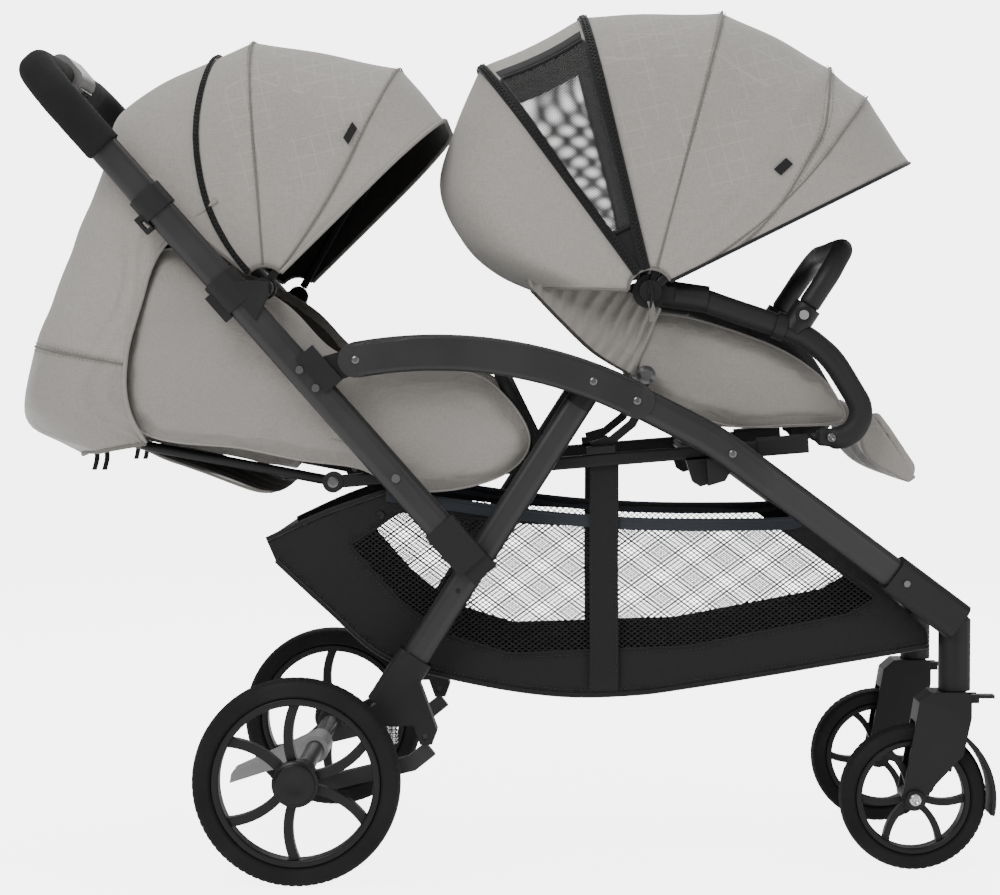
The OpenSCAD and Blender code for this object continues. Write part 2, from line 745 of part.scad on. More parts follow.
module front_canopy_mounts() {
    reach = norm(side_bar_top - front_pivot);
    d = side_bar_d + 4;
    face = mid_bow_half - bow_t / 2 - 0.15 - rest_gap;
    color(black) both_sides() {
        difference() {
            union() {
                cross_pin(front_pivot, 40, rail_y - d / 2 + 2, face);
                aim(front_pivot, side_bar_top, rail_y) cylinder(d = d, h = reach + 12);
            }
            side_bar_frame() translate([0, 0, -0.2]) cylinder(d = side_bar_d + 0.2, h = 80);
            cross_pin(front_pivot, 60, face, frame_half);
        }
        cross_pin(front_pivot, 8, rail_y, front_bow_half + bow_t / 2 + 0.6);
    }
}

// ---------------------------------------------------------------- rear seat

rear_wall = [[-414, 735], [-330, 712], [-257, 672], [-198, 613], [-122, 597], [-40, 592],
    [0, 563], [29, 522], [29, 495], [-5, 468], [-64, 448], [-122, 450], [-169, 477],
    [-239, 486], [-309, 500], [-437, 524], [-453, 604]];
push_pivot = along(lock_p, handle_p, push_pivot_z);

module rear_seat() {
    color(grey_cloth) {
        both_sides() difference() {
            side_plate(rear_wall, cloth_y - side_t / 2, side_t);
            cross_pin(push_pivot, 18, 0, frame_half);
        }
        rail_frame(0) translate([-rail_w / 2 - rest_gap - cushion_t, -cloth_y + side_t + 0.2, 24])
            cube([cushion_t, 2 * (cloth_y - side_t - 0.2), rear_bumper_z - 55]);
    }
}

rear_back_end = [-448, 506];
back_tube_d = 12;
back_eye_y = rail_y - rail_t / 2 - 0.6 - back_tube_d / 2;

module rear_back_frame() {
    reach = norm(rear_back_end - rail_rear);
    color(black) difference() {
        union() {
            hoop_frame(along(rail_rear, rear_back_end, 6), lean(rail_rear, rear_back_end),
                back_eye_y) tube_run(back_tube_d, back_tube_d, hoop(reach - 56, 50, back_eye_y));
            for (s = [-1, 1]) translate([0, s * back_eye_y, 0])
                cross_pin(rail_rear, 22, 0.5 - back_tube_d / 2, back_tube_d / 2 - 0.5);
        }
        cross_pin(rail_rear, hinge_pin_d + 2 * pin_gap, -frame_half, frame_half);
    }
}

module rear_seat_back() {
    half = back_eye_y + back_tube_d / 2 - 2;
    color(grey_cloth) aim(rail_rear, rear_back_end)
        translate([back_tube_d / 2 + rest_gap, -half, 32]) cube([cushion_t, 2 * half, 222]);
}

rear_bumper_z = 243;
rear_bumper_d = 16;

module rear_bumper_bar() {
    base = along(rail_rear, rail_front, rear_bumper_z) + [0, rail_w / 2 + 4.2];
    color(black) {
        hoop_frame(base, -26, rail_y)
            tube_run(rear_bumper_d, rear_bumper_d, hoop(30, 78, rail_y));
        for (s = [-1, 1]) rail_frame(s * rail_y)
            translate([-rail_w / 2 - 0.1, 0, rear_bumper_z]) rotate([0, -90, 0])
            cylinder(d = rear_bumper_d - 1, h = 7);
    }
}

flap_top = rear_pivot + polar(rear_canopy_r * 0.84 - 3, 142.8);
flap_line = [flap_top, [-549, 662], [-578, 522], [-462, 482]];
flap_edge = [[-430, 506], [-456, 604], [-416, 735]];

module back_flap() {
    y = cloth_y + 3 + rest_gap;
    color(grey_cloth) {
        side_plate(strip(flap_line, -6), 0, 2 * y + 6);
        both_sides() side_plate(concat(flap_line, flap_edge), y, 6);
    }
}

module harnesses() {
    color(black) {
        rail_frame(0) translate([-rail_w / 2 - 2 * rest_gap - cushion_t - 12, -22, 172])
            cube([12, 44, 40]);
        translate([378, -22, 527 + cushion_t + rest_gap]) cube([40, 44, 12]);
    }
}

// ---------------------------------------------------------------- basket

basket_top = [[-280, 393], [-140, 450], [36, 424], [170, 414], [322, 414], [352, 420]];
basket_chain = [[-280, 393], [-269, 368], [-140, 252], [65, 207], [217, 216], [506, 262],
    [504, 284], [352, 420]];
basket_rear_half = cloth_y - 4;
basket_front_half = castor_half - 6;

// Point just under a seat rail at x
function strap_top(x) = along(rail_rear, rail_front, (x - rail_rear[0]) / unit(rail_front
    - rail_rear)[0]) - [0, rail_w / 2 / unit(rail_front - rail_rear)[0] + rest_gap];

module basket_plan(t) {
    polygon([[-300, basket_rear_half - t], [520, basket_front_half - t],
        [520, t - basket_front_half], [-300, t - basket_rear_half]]);
}

module basket() {
    n = len(basket_chain);
    color(black) {
        difference() {
            intersection() {
                side_plate(concat([for (i = [n - 1 : -1 : 0]) basket_chain[i]],
                    [for (i = [1 : len(basket_top) - 2]) basket_top[i]]), 0, 600);
                translate([0, 0, 150]) linear_extrude(400) basket_plan(0);
            }
            intersection() {
                side_plate(concat(strip_side(basket_chain, -cloth_t),
                    [[352, 560], [-290, 560]]), 0, 600);
                translate([0, 0, 150]) linear_extrude(400) basket_plan(cloth_t);
            }
        }
        both_sides() side_plate([[100, 230], [134, 232], strap_top(134), strap_top(100)],
            rail_y - rail_t / 2 + 2.5, 3);
    }
}

// ---------------------------------------------------------------- rear legs and axle

module rear_leg_frame() {
    aim(leg_hinge, leg_foot, leg_y) children();
}

leg_len = norm(leg_foot - leg_hinge);

module rear_legs() {
    color(charcoal) both_sides() rear_leg_frame() difference() {
        translate([0, 0, cap_l]) linear_extrude(leg_len - cap_l) difference() {
            oval(rear_leg_w, tube_t);
            oval(rear_leg_w - 2 * tube_wall, tube_t - 2 * tube_wall);
        }
        for (z = [lock_drop + 36]) translate([0, 0, z]) rotate([90, 0, 0])
            cylinder(d = 5.2, h = 60, center = true);
    }
}

module rear_leg_caps() {
    color(black) both_sides() {
        rear_leg_frame() difference() {
            union() {
                translate([0, 0, 0]) linear_extrude(cap_l - 0.1) oval(rear_leg_w, tube_t);
                translate([0, -tube_t / 2, 0]) rotate([-90, 0, 0])
                    cylinder(d = rear_leg_w, h = tube_t);
                linear_extrude(cap_l + 20)
                    oval(rear_leg_w - 2 * tube_wall - 0.2, tube_t - 2 * tube_wall - 0.2);
            }
            translate([0, -40, 0]) rotate([-90, 0, 0])
                cylinder(d = hinge_pin_d + 2 * pin_gap, h = 80);
        }
        rear_leg_frame() translate([0, 0, lock_drop + 36]) rotate([90, 0, 0])
            cylinder(d = 5, h = tube_t + 1.5, center = true);
    }
}

swing_p = [-92, 166];
swing_line = [[-92, 166], [-112, 150], [-150, 141], rear_axle_p];
swing_t = 15;
swing_w = 18;
spring_x = -131;
spring_z = [155, 178];
rear_tube_d = 22;

module axle_housings() {
    wall = 5;
    color(black) both_sides() difference() {
        union() {
            rear_leg_frame() translate([0, 0, leg_len - housing_l])
                linear_extrude(housing_l + 8) soft_rect(rear_leg_w + 2 * wall,
                tube_t + 2 * wall, 10);
            side_plate([[-156, spring_z[1]], [-156, 200], [-100, 232], [-78, 172],
                [-84, 156], [-98, 156], [-106, spring_z[1]]], leg_y, tube_t + 2 * wall);
        }
        rear_leg_frame() translate([0, 0, leg_len - housing_l - 1])
            linear_extrude(housing_l + 1.2) oval(rear_leg_w + 0.2, tube_t + 0.2);
        translate([swing_p[0], leg_y - swing_t / 2 - rest_gap, swing_p[1]])
            rotate([-90, 0, 0]) cylinder(d = 26, h = swing_t + 2 * rest_gap);
        translate([-160, leg_y - swing_t / 2 - rest_gap, 140])
            cube([68, swing_t + 2 * rest_gap, spring_z[1] - 140]);
        cross_pin(swing_p, hinge_pin_d + 2 * pin_gap, 0, frame_half + 20);
    }
}

module suspension_springs() {
    turns = 5;
    h = spring_z[1] - spring_z[0] - 2 * rest_gap;
    color(silver) both_sides() translate([spring_x, leg_y, spring_z[0] + rest_gap])
        rotate_extrude() union() {
            translate([3, 0]) square([2.2, h]);
            for (i = [0 : turns - 1]) translate([5, (i + 0.5) * h / turns])
                circle(d = h / turns * 0.7);
        }
}

module rear_axle() {
    color(charcoal) {
        difference() {
            cross_pin(rear_axle_p, rear_tube_d, -leg_y, leg_y);
            cross_pin(rear_axle_p, rear_tube_d - 2 * tube_wall, -leg_y + 8, leg_y - 8);
        }
        both_sides() {
            cross_pin(rear_axle_p, axle_d, leg_y - 1, rear_wheel_y + rear_tyre_w / 2 - 8);
            cross_pin(rear_axle_p, 34, leg_y - swing_t / 2, rear_wheel_y - rear_tyre_w / 2 - 4);
            difference() {
                union() {
                    side_plate(strip([for (p = swing_line) p - [0, swing_w / 2]], -swing_w),
                        leg_y, swing_t);
                    cross_pin(swing_p, 20, leg_y - swing_t / 2, leg_y + swing_t / 2);
                }
                cross_pin(swing_p, hinge_pin_d, 0, frame_half + 20);
            }
            cross_pin(swing_p, hinge_pin_d, leg_y - tube_t / 2 - 3, leg_y + tube_t / 2 + 3);
        }
    }
}

pedal_half = 34;

module brake_pedal() {
    color("#8b8c8c") difference() {
        union() {
            cross_pin(rear_axle_p, rear_tube_d + 12, -pedal_half, pedal_half);
            side_plate([[rear_axle_p[0] - 4, rear_axle_p[1] + 16],
                [rear_axle_p[0] - 60, rear_axle_p[1] - 10],
                [rear_axle_p[0] - 104, rear_axle_p[1] - 30],
                [rear_axle_p[0] - 106, rear_axle_p[1] - 42],
                [rear_axle_p[0] - 56, rear_axle_p[1] - 26],
                [rear_axle_p[0] - 4, rear_axle_p[1] - 16]], 0, 2 * pedal_half);
        }
        cross_pin(rear_axle_p, rear_tube_d + 2 * rest_gap, -frame_half, frame_half);
    }
}

// ---------------------------------------------------------------- wheels

// Wheels are drawn on their own axle, along Z, with the outer side up.
module tyre(d, w, depth) {
    rotate_extrude($fn = 96) translate([d / 2 - depth / 2, 0])
        soft_rect(depth, w, min(depth, w) * 0.36);
}

module spoke_pair(r_in, r_out, w) {
    p = [r_in * 0.34, r_in * 0.9];
    q = [r_out * 0.5, r_out * 0.86];
    c = arc_centre(p, q, r_out * 0.95);
    for (m = [0, 1]) mirror([m, 0]) intersection() {
        difference() {
            circle(r_out);
            circle(r_in);
        }
        translate(c) difference() {
            circle(r_out * 0.95 + w / 2);
            circle(r_out * 0.95 - w / 2);
        }
        translate([0, 0]) square([r_out, r_out]);
    }
}

module rim(r_out, w, lip, hub_d, hub_w, bore, spoke_w, turn) {
    difference() {
        union() {
            rotate_extrude($fn = 96) translate([r_out - lip / 2, 0]) soft_rect(lip, w, 2.5);
            cylinder(d = hub_d, h = hub_w, center = true);
            for (k = [0 : 2]) rotate([0, 0, turn + 120 * k])
                translate([0, 0, -w * 0.26]) linear_extrude(w * 0.52)
                spoke_pair(hub_d / 2 - 1.5, r_out - lip / 2, spoke_w);
        }
        cylinder(d = bore, h = 100, center = true);
    }
}

module at_wheel(p, y, s) {
    scale_side(s) translate([p[0], y, p[1]]) rotate([-90, 0, 0]) children();
}

rear_depth = rear_wheel_d * 0.092;
front_depth = front_wheel_d * 0.105;

module rear_tyre(s) {
    color(black) at_wheel(rear_axle_p, rear_wheel_y, s)
        tyre(rear_wheel_d, rear_tyre_w, rear_depth);
}

module rear_rim(s) {
    color("#232324") at_wheel(rear_axle_p, rear_wheel_y, s)
        rim(rear_wheel_d / 2 - rear_depth - 0.1, rear_tyre_w - 8, 9, 50, rear_tyre_w - 4,
            axle_d + 2 * pin_gap, 11, -90);
}

module rear_hub_cap(s) {
    color("#2a2a2c") at_wheel(rear_axle_p, rear_wheel_y, s)
        translate([0, 0, rear_tyre_w / 2 - 1.9]) {
            cylinder(d = 54, h = 4);
            translate([0, 0, 4]) cylinder(d1 = 52, d2 = 46, h = 2);
        }
}

module front_tyre(s) {
    color(black) at_wheel(front_axle_p, castor_half, s)
        tyre(front_wheel_d, front_tyre_w, front_depth);
}

module front_rim(s) {
    color("#232324") at_wheel(front_axle_p, castor_half, s)
        rim(front_wheel_d / 2 - front_depth - 0.1, front_tyre_w - 8, 8, 30, front_tyre_w + 4,
            axle_d + 2 * pin_gap, 8, 60);
}

fork_gap = front_tyre_w / 2 + 2.6;
fork_leg = 6;
crown_z = post_z0 - rest_gap;
lever_p = [castor_x + 23, crown_z - 9];

module castor_fork(s) {
    y0 = castor_half - fork_gap - fork_leg;
    y1 = castor_half + fork_gap + fork_leg;
    wheel_gap = 4;
    color(black) scale_side(s) {
        difference() {
            union() {
                side_plate([[castor_x - 44, crown_z - 12], [castor_x - 30, crown_z],
                    [castor_x + 12, crown_z], [castor_x + 17.5, crown_z - 5],
                    [castor_x + 17.5, crown_z - 30], [castor_x + 8, front_axle_p[1] + 52],
                    front_axle_p + [14, 6], front_axle_p + [10, -12],
                    front_axle_p + [-10, -12], front_axle_p + [-14, 6]], (y0 + y1) / 2, y1 - y0);
                translate([front_axle_p[0], castor_half, front_axle_p[1]])
                    rotate([90, 0, 0]) rotate([0, 0, -12]) rotate_extrude(angle = 84, $fn = 96)
                    translate([front_wheel_d / 2 + wheel_gap + 3, 0])
                    square([5, y1 - y0 - 0.4], center = true);
                for (dy = [-11.5, 11.5]) translate([castor_x + 14, castor_half + dy - 2,
                    lever_p[1] - 5]) cube([14, 4, 10]);
            }
            cross_pin(front_axle_p, front_wheel_d + 2 * wheel_gap, castor_half - fork_gap,
                castor_half + fork_gap);
            cross_pin(front_axle_p, axle_d + 0.2, y0 - 1, y1 + 1);
        }
        cross_pin(front_axle_p, axle_d, y0, y1);
        rivet_head(front_axle_p, y1 + 0.1, 16, 4);
        translate([castor_x, castor_half, crown_z - 0.01]) cylinder(d = stem_d, h = 44);
        cross_pin(lever_p, 3, castor_half - 13, castor_half + 13);
    }
}

module swivel_lock(s) {
    color(black) scale_side(s) difference() {
        union() {
            cross_pin(lever_p, 8, castor_half - 9.2, castor_half + 9.2);
            translate([lever_p[0], castor_half - 9.2, lever_p[1]]) cube([24, 18.4, 4]);
        }
        cross_pin(lever_p, 3 + 2 * pin_gap, 0, frame_half);
    }
}

module rear_tyre_right() { rear_tyre(-1); }
module rear_tyre_left() { rear_tyre(1); }
module rear_rim_right() { rear_rim(-1); }
module rear_rim_left() { rear_rim(1); }
module rear_hub_cap_right() { rear_hub_cap(-1); }
module rear_hub_cap_left() { rear_hub_cap(1); }
module castor_fork_right() { castor_fork(-1); }
module castor_fork_left() { castor_fork(1); }
module front_tyre_right() { front_tyre(-1); }
module front_tyre_left() { front_tyre(1); }
module front_rim_right() { front_rim(-1); }
module front_rim_left() { front_rim(1); }
module swivel_lock_right() { swivel_lock(-1); }
module swivel_lock_left() { swivel_lock(1); }
module bumper_button_right() { bumper_button(-1); }
module bumper_button_left() { bumper_button(1); }

handle_tube();
handle_grips();
trigger_housing();
push_tubes();
upper_collars();
lower_collars();
arm_knuckles();
lock_brackets();
push_rivets();
fold_trigger();
side_arms();
front_legs();
front_elbows();
front_cross_tube();
mid_rails();
rail_pods();
seat_cross_bars();
frame_rivets();
front_side_bars();
bumper_sockets();
front_bumper_bar();
bumper_button_right();
bumper_button_left();
front_seat();
front_seat_back();
front_calf_rest();
front_canopy_mounts();
front_canopy_bow();
front_canopy_mid_bow();
front_canopy();
rear_seat();
rear_seat_back();
rear_back_frame();
rear_bumper_bar();
back_flap();
rear_canopy_bow();
rear_canopy();
harnesses();
basket();
rear_legs();
rear_leg_caps();
axle_housings();
suspension_springs();
rear_axle();
brake_pedal();
rear_tyre_right();
rear_tyre_left();
rear_rim_right();
rear_rim_left();
rear_hub_cap_right();
rear_hub_cap_left();
castor_fork_right();
castor_fork_left();
front_tyre_right();
front_tyre_left();
front_rim_right();
front_rim_left();
swivel_lock_right();
swivel_lock_left();
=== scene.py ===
"""Tandem double stroller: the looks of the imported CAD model, in the CAD frame, in metres."""

import json
import math

import bmesh
import bpy
import numpy as np
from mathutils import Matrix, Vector, noise
from mathutils.geometry import delaunay_2d_cdt


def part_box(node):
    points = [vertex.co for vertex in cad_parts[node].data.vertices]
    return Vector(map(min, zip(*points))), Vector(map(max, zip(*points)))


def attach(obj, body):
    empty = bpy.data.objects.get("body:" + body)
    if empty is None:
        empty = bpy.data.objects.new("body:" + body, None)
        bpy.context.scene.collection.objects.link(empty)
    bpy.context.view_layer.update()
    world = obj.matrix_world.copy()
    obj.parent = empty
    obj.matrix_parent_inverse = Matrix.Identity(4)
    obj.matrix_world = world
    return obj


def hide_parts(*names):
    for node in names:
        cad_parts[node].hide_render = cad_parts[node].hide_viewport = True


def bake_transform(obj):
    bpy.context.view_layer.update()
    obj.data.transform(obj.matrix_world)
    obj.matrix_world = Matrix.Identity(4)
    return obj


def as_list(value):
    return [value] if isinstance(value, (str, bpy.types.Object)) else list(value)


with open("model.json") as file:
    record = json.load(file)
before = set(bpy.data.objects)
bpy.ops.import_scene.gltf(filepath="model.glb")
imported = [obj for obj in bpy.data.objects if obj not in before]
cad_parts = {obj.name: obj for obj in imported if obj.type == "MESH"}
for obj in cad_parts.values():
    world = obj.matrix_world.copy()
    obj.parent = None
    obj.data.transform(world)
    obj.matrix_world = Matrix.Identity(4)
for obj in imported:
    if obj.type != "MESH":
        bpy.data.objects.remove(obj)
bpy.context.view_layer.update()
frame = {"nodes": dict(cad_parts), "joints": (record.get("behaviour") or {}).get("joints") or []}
JOINT = {j["name"]: j for j in frame["joints"]}
SIDES = ((-1, "right"), (1, "left"))


# ------------------------------------------------------------------ materials
def new_material(name):
    """A material, its nodes and its shader."""
    m = bpy.data.materials.new(name)
    m.use_nodes = True
    nt = m.node_tree
    return m, nt, nt.nodes["Principled BSDF"]


def node(nt, kind, **values):
    """A new node with its inputs and properties set by name."""
    n = nt.nodes.new(kind)
    for k, v in values.items():
        if k in n.inputs.keys():
            n.inputs[k].default_value = v
        else:
            setattr(n, k, v)
    return n


def math_node(nt, op, a, b=None, clamp=False):
    n = nt.nodes.new("ShaderNodeMath")
    n.operation = op
    n.use_clamp = clamp
    for i, v in enumerate((a, b)):
        if v is None:
            continue
        if hasattr(v, "node"):
            nt.links.new(v, n.inputs[i])
        else:
            n.inputs[i].default_value = v
    return n.outputs[0]


def ramp(nt, fac, a, b, pos=(0.0, 1.0)):
    n = nt.nodes.new("ShaderNodeValToRGB")
    n.color_ramp.elements[0].position, n.color_ramp.elements[1].position = pos
    n.color_ramp.elements[0].color = (*a, 1)
    n.color_ramp.elements[1].color = (*b, 1)
    nt.links.new(fac, n.inputs[0])
    return n.outputs[0]


def shade(c, k):
    """The colour times k."""
    return tuple(min(1.0, x * k) for x in c[:3])


def mix(nt, fac, a, b, kind="MIX"):
    n = nt.nodes.new("ShaderNodeMix")
    n.data_type = "RGBA"
    n.blend_type = kind
    for i, v in ((0, fac), (6, a), (7, b)):
        if hasattr(v, "node"):
            nt.links.new(v, n.inputs[i])
        else:
            n.inputs[i].default_value = v if i == 0 else (*v[:3], 1)
    return n.outputs[2]


def object_coords(nt, scale=(1, 1, 1), turn=(0, 0, 0)):
    tc = nt.nodes.new("ShaderNodeTexCoord")
    mp = node(nt, "ShaderNodeMapping", Scale=scale, Rotation=turn)
    nt.links.new(tc.outputs["Object"], mp.inputs[0])
    return mp.outputs[0]


def speckle(nt, vector, scale, detail, distortion=0.0):
    """Noise with that many cells a metre, as a value near 0 to 1."""
    n = node(nt, "ShaderNodeTexNoise", Scale=scale, Detail=detail, Distortion=distortion)
    nt.links.new(vector, n.inputs["Vector"])
    return n.outputs[0]


def spread(nt, value, base, dark, light, pos=(0.3, 0.7)):
    """The base colour made darker or lighter by a value."""
    return ramp(nt, value, shade(base, dark), shade(base, light), pos)


def weave(nt, pitch):
    """Two crossing sets of uneven threads, as a value near 0 to 1."""
    fine, long = 1.0 / pitch, 0.12 / pitch
    sets = [speckle(nt, object_coords(nt, stretch, (0, 0.2, 0)), 1.0, 1.0)
            for stretch in ((fine, long, long), (long, long, fine))]
    return math_node(nt, "MULTIPLY", math_node(nt, "ADD", sets[0], sets[1]), 0.5)


def bump(nt, bsdf, height, strength, distance, normal=None):
    n = node(nt, "ShaderNodeBump", Strength=strength, Distance=distance)
    nt.links.new(height, n.inputs["Height"])
    if normal is not None:
        nt.links.new(normal, n.inputs["Normal"])
    nt.links.new(n.outputs[0], bsdf.inputs["Normal"])
    return n.outputs[0]


STITCH_GRID = 0.021


def cloth(name, base, pitch=0.0009, melange=0.2, emboss=0.0, rough=0.86, sheen=0.25,
          crease=0.25):
    """Woven cloth: threads, flecks of lighter and darker yarn, soft creases and, if asked,
    a sparse stitched grid of broken lines."""
    m, nt, bsdf = new_material(name)
    xyz = object_coords(nt)
    threads = weave(nt, pitch)
    flecks = speckle(nt, object_coords(nt, (900, 900, 2400)), 1.0, 3.0)
    cloudy = speckle(nt, xyz, 9.0, 4.0)
    colour = spread(nt, flecks, base, 1 - melange, 1 + melange)
    colour = mix(nt, 0.5, colour, spread(nt, cloudy, base, 0.93, 1.07))
    colour = mix(nt, 0.35, colour, spread(nt, threads, base, 0.72, 1.22, (0.36, 0.64)))
    height = math_node(nt, "ADD", threads, math_node(nt, "MULTIPLY", flecks, 0.5))
    if emboss:
        turned = object_coords(nt, turn=(0, math.radians(14), 0))
        lines = []
        for axis in "XYZ":
            wave = node(nt, "ShaderNodeTexWave", Scale=math.pi / (10 * STITCH_GRID),
                        bands_direction=axis, Distortion=0.0)
            nt.links.new(turned, wave.inputs["Vector"])
            lines.append(math_node(nt, "GREATER_THAN", wave.outputs[1], 0.985))
        grid = math_node(nt, "MAXIMUM", math_node(nt, "MAXIMUM", lines[0], lines[1]), lines[2])
        broken = speckle(nt, xyz, 26.0, 0.0)
        grid = math_node(nt, "MULTIPLY", grid, math_node(nt, "GREATER_THAN", broken, 0.47))
        colour = mix(nt, math_node(nt, "MULTIPLY", grid, emboss), colour, shade(base, 1.25))
        height = math_node(nt, "SUBTRACT", height, math_node(nt, "MULTIPLY", grid, 0.8))
    nt.links.new(colour, bsdf.inputs["Base Color"])
    soft = speckle(nt, object_coords(nt, (1, 1, 1.6)), 22.0, 3.0, 0.8)
    wide = node(nt, "ShaderNodeBump", Strength=crease, Distance=0.004)
    nt.links.new(soft, wide.inputs["Height"])
    bump(nt, bsdf, height, 0.35, 0.0003, wide.outputs[0])
    bsdf.inputs["Roughness"].default_value = rough
    bsdf.inputs["Sheen Weight"].default_value = sheen
    bsdf.inputs["Sheen Roughness"].default_value = 0.45
    bsdf.inputs["Specular IOR Level"].default_value = 0.25
    return m


def hard(name, base, metallic=0.0, rough=0.4, grain=0.0, grain_scale=900.0, edge=0.0008,
         wear=0.35, vary=0.08):
    """Moulded, painted or polished surface with grain, uneven gloss and rubbed edges."""
    m, nt, bsdf = new_material(name)
    xyz = object_coords(nt)
    smear = speckle(nt, xyz, 14.0, 5.0)
    grit = speckle(nt, xyz, grain_scale, 2.0)
    colour = spread(nt, smear, base, 1 - vary, 1 + vary)
    geo = nt.nodes.new("ShaderNodeNewGeometry")
    rub = ramp(nt, geo.outputs["Pointiness"], (0, 0, 0), (1, 1, 1), (0.52, 0.62))
    colour = mix(nt, math_node(nt, "MULTIPLY", rub, wear), colour, shade(base, 2.4))
    nt.links.new(colour, bsdf.inputs["Base Color"])
    gloss = ramp(nt, smear, (rough * 0.85,) * 3, (min(1, rough * 1.2),) * 3, (0.3, 0.7))
    nt.links.new(gloss, bsdf.inputs["Roughness"])
    bevel = node(nt, "ShaderNodeBevel", Radius=edge)
    bevel.samples = 4
    if grain:
        bump(nt, bsdf, grit, grain, 0.0002, bevel.outputs[0])
    else:
        nt.links.new(bevel.outputs[0], bsdf.inputs["Normal"])
    bsdf.inputs["Metallic"].default_value = metallic
    bsdf.inputs["Specular IOR Level"].default_value = 0.3
    return m


GREY = (0.33, 0.312, 0.288)
M = {
    "cloth": cloth("grey_cloth", GREY),
    "cloth_grid": cloth("grey_cloth_grid", GREY, emboss=0.5),
    "satin": cloth("grey_satin", shade(GREY, 0.88), pitch=0.0006, melange=0.06, rough=0.46,
                   sheen=0.5, crease=0.75),
    "seam": cloth("grey_seam", shade(GREY, 0.5), melange=0.1, crease=0.0),
    "thread": cloth("grey_thread", shade(GREY, 0.8), pitch=0.0004, melange=0.1, crease=0.0),
    "piping": cloth("grey_piping", shade(GREY, 0.9), pitch=0.0005, melange=0.12, crease=0.0),
    "lining": cloth("dark_lining", (0.02, 0.018, 0.017), rough=0.8),
    "black_cloth": cloth("black_cloth", (0.011, 0.011, 0.012), melange=0.3, rough=0.75),
    "net": cloth("black_net", (0.009, 0.009, 0.0095), pitch=0.0004, rough=0.6, crease=0.0),
    "window_net": cloth("window_net", (0.03, 0.03, 0.031), pitch=0.0004, rough=0.6, crease=0.0),
    "slate": cloth("slate_binding", (0.026, 0.03, 0.037), pitch=0.0006, rough=0.7, crease=0.1),
    "webbing": cloth("black_webbing", (0.008, 0.008, 0.0085), pitch=0.0012, rough=0.6,
                     crease=0.05),
    "inside": cloth("grey_inside", (0.34, 0.325, 0.305), rough=0.85),
    # Taupe painted shade: a darker grey-brown for the inner faces of the seat side panels,
    # standing in for the shadow inside the seats.
    "taupe": cloth("taupe_lining", (0.1, 0.088, 0.08), rough=0.8),
    "brown": cloth("brown_underside", (0.07, 0.058, 0.052), rough=0.8),
    "metal": hard("charcoal_metal", (0.04, 0.039, 0.0395), metallic=0.5, rough=0.36,
                  grain=0.12, grain_scale=1600, wear=0.1),
    "plastic": hard("black_plastic", (0.0075, 0.0075, 0.008), rough=0.46, grain=0.25,
                    edge=0.0016),
    "gloss": hard("black_gloss", (0.007, 0.007, 0.0075), rough=0.3),
    "housing": hard("grey_plastic", (0.13, 0.127, 0.124), rough=0.4, grain=0.2, wear=0.2),
    "pedal": hard("pedal_plastic", (0.2, 0.2, 0.2), rough=0.42, grain=0.2, wear=0.2),
    "foam": hard("black_foam", (0.0085, 0.0085, 0.009), rough=0.93, grain=0.9, grain_scale=520,
                 edge=0.003, wear=0.0),
    "cover": hard("padded_cover", (0.0135, 0.0135, 0.014), rough=0.52, grain=0.5,
                  grain_scale=1400, edge=0.003, wear=0.0),
    "steel": hard("polished_steel", (0.62, 0.62, 0.63), metallic=1.0, rough=0.18, vary=0.03,
                  wear=0.0),
    "rivet": hard("dark_rivet", (0.16, 0.16, 0.165), metallic=1.0, rough=0.3, vary=0.05,
                  wear=0.0),
    "tyre": hard("black_tyre", (0.0075, 0.0075, 0.0078), rough=0.78, grain=0.35,
                 grain_scale=380, wear=0.1),
    "rim": hard("rim_plastic", (0.0075, 0.0075, 0.008), rough=0.36, grain=0.06, wear=0.15),
}
LOOK = {
    "metal": "handle_tube push_tubes side_arms front_legs front_cross_tube rear_legs rear_axle",
    "housing": "trigger_housing",
    "pedal": "brake_pedal",
    "steel": "fold_trigger bumper_button_right bumper_button_left suspension_springs",
    "rivet": "push_rivets frame_rivets",
    "rim": "rear_rim_right rear_rim_left front_rim_right front_rim_left "
           "rear_hub_cap_right rear_hub_cap_left",
    "gloss": "front_canopy_bow front_canopy_mid_bow rear_canopy_bow",
}
look_of = {n: k for k, names in LOOK.items() for n in names.split()}
for name, obj in frame["nodes"].items():
    obj.data.materials.clear()
    obj.data.materials.append(M[look_of.get(name, "plastic")])


# ------------------------------------------------------------------ mesh helpers
def unit(v):
    return v / np.linalg.norm(v)


def polar(r, degrees):
    a = math.radians(degrees)
    return np.array([r * math.cos(a), r * math.sin(a)])


def joint_xz(name):
    """The joint's place in the side view."""
    return np.array(JOINT[name]["pos_m"])[[0, 2]]


def in_space(v, y=0.0):
    """A point or direction of the side view, in three dimensions."""
    return np.array((v[0], y, v[1]))


def add_object(name, data):
    o = bpy.data.objects.new(name, data)
    bpy.context.scene.collection.objects.link(o)
    return o


def set_smooth(me, smooth=True):
    me.polygons.foreach_set("use_smooth", np.full(len(me.polygons), smooth))


def mesh_object(name, verts, faces, materials, index=None, smooth=True):
    me = bpy.data.meshes.new(name)
    me.from_pydata([tuple(map(float, v)) for v in verts], [], [tuple(f) for f in faces])
    for m in materials if isinstance(materials, (list, tuple)) else [materials]:
        me.materials.append(M[m])
    if index is not None:
        me.polygons.foreach_set("material_index", np.array(index, np.int32))
    set_smooth(me, smooth)
    me.update()
    return add_object(name, me)


def bake_modifiers(o):
    """Turns what the modifiers make into the object's own mesh."""
    dg = bpy.context.evaluated_depsgraph_get()
    me = bpy.data.meshes.new_from_object(o.evaluated_get(dg), depsgraph=dg)
    old = o.data
    o.modifiers.clear()
    o.data = me
    bpy.data.meshes.remove(old)
    return o


def modify(o, kind, **values):
    mod = o.modifiers.new(kind.lower(), kind)
    for k, v in values.items():
        setattr(mod, k, v)
    return mod


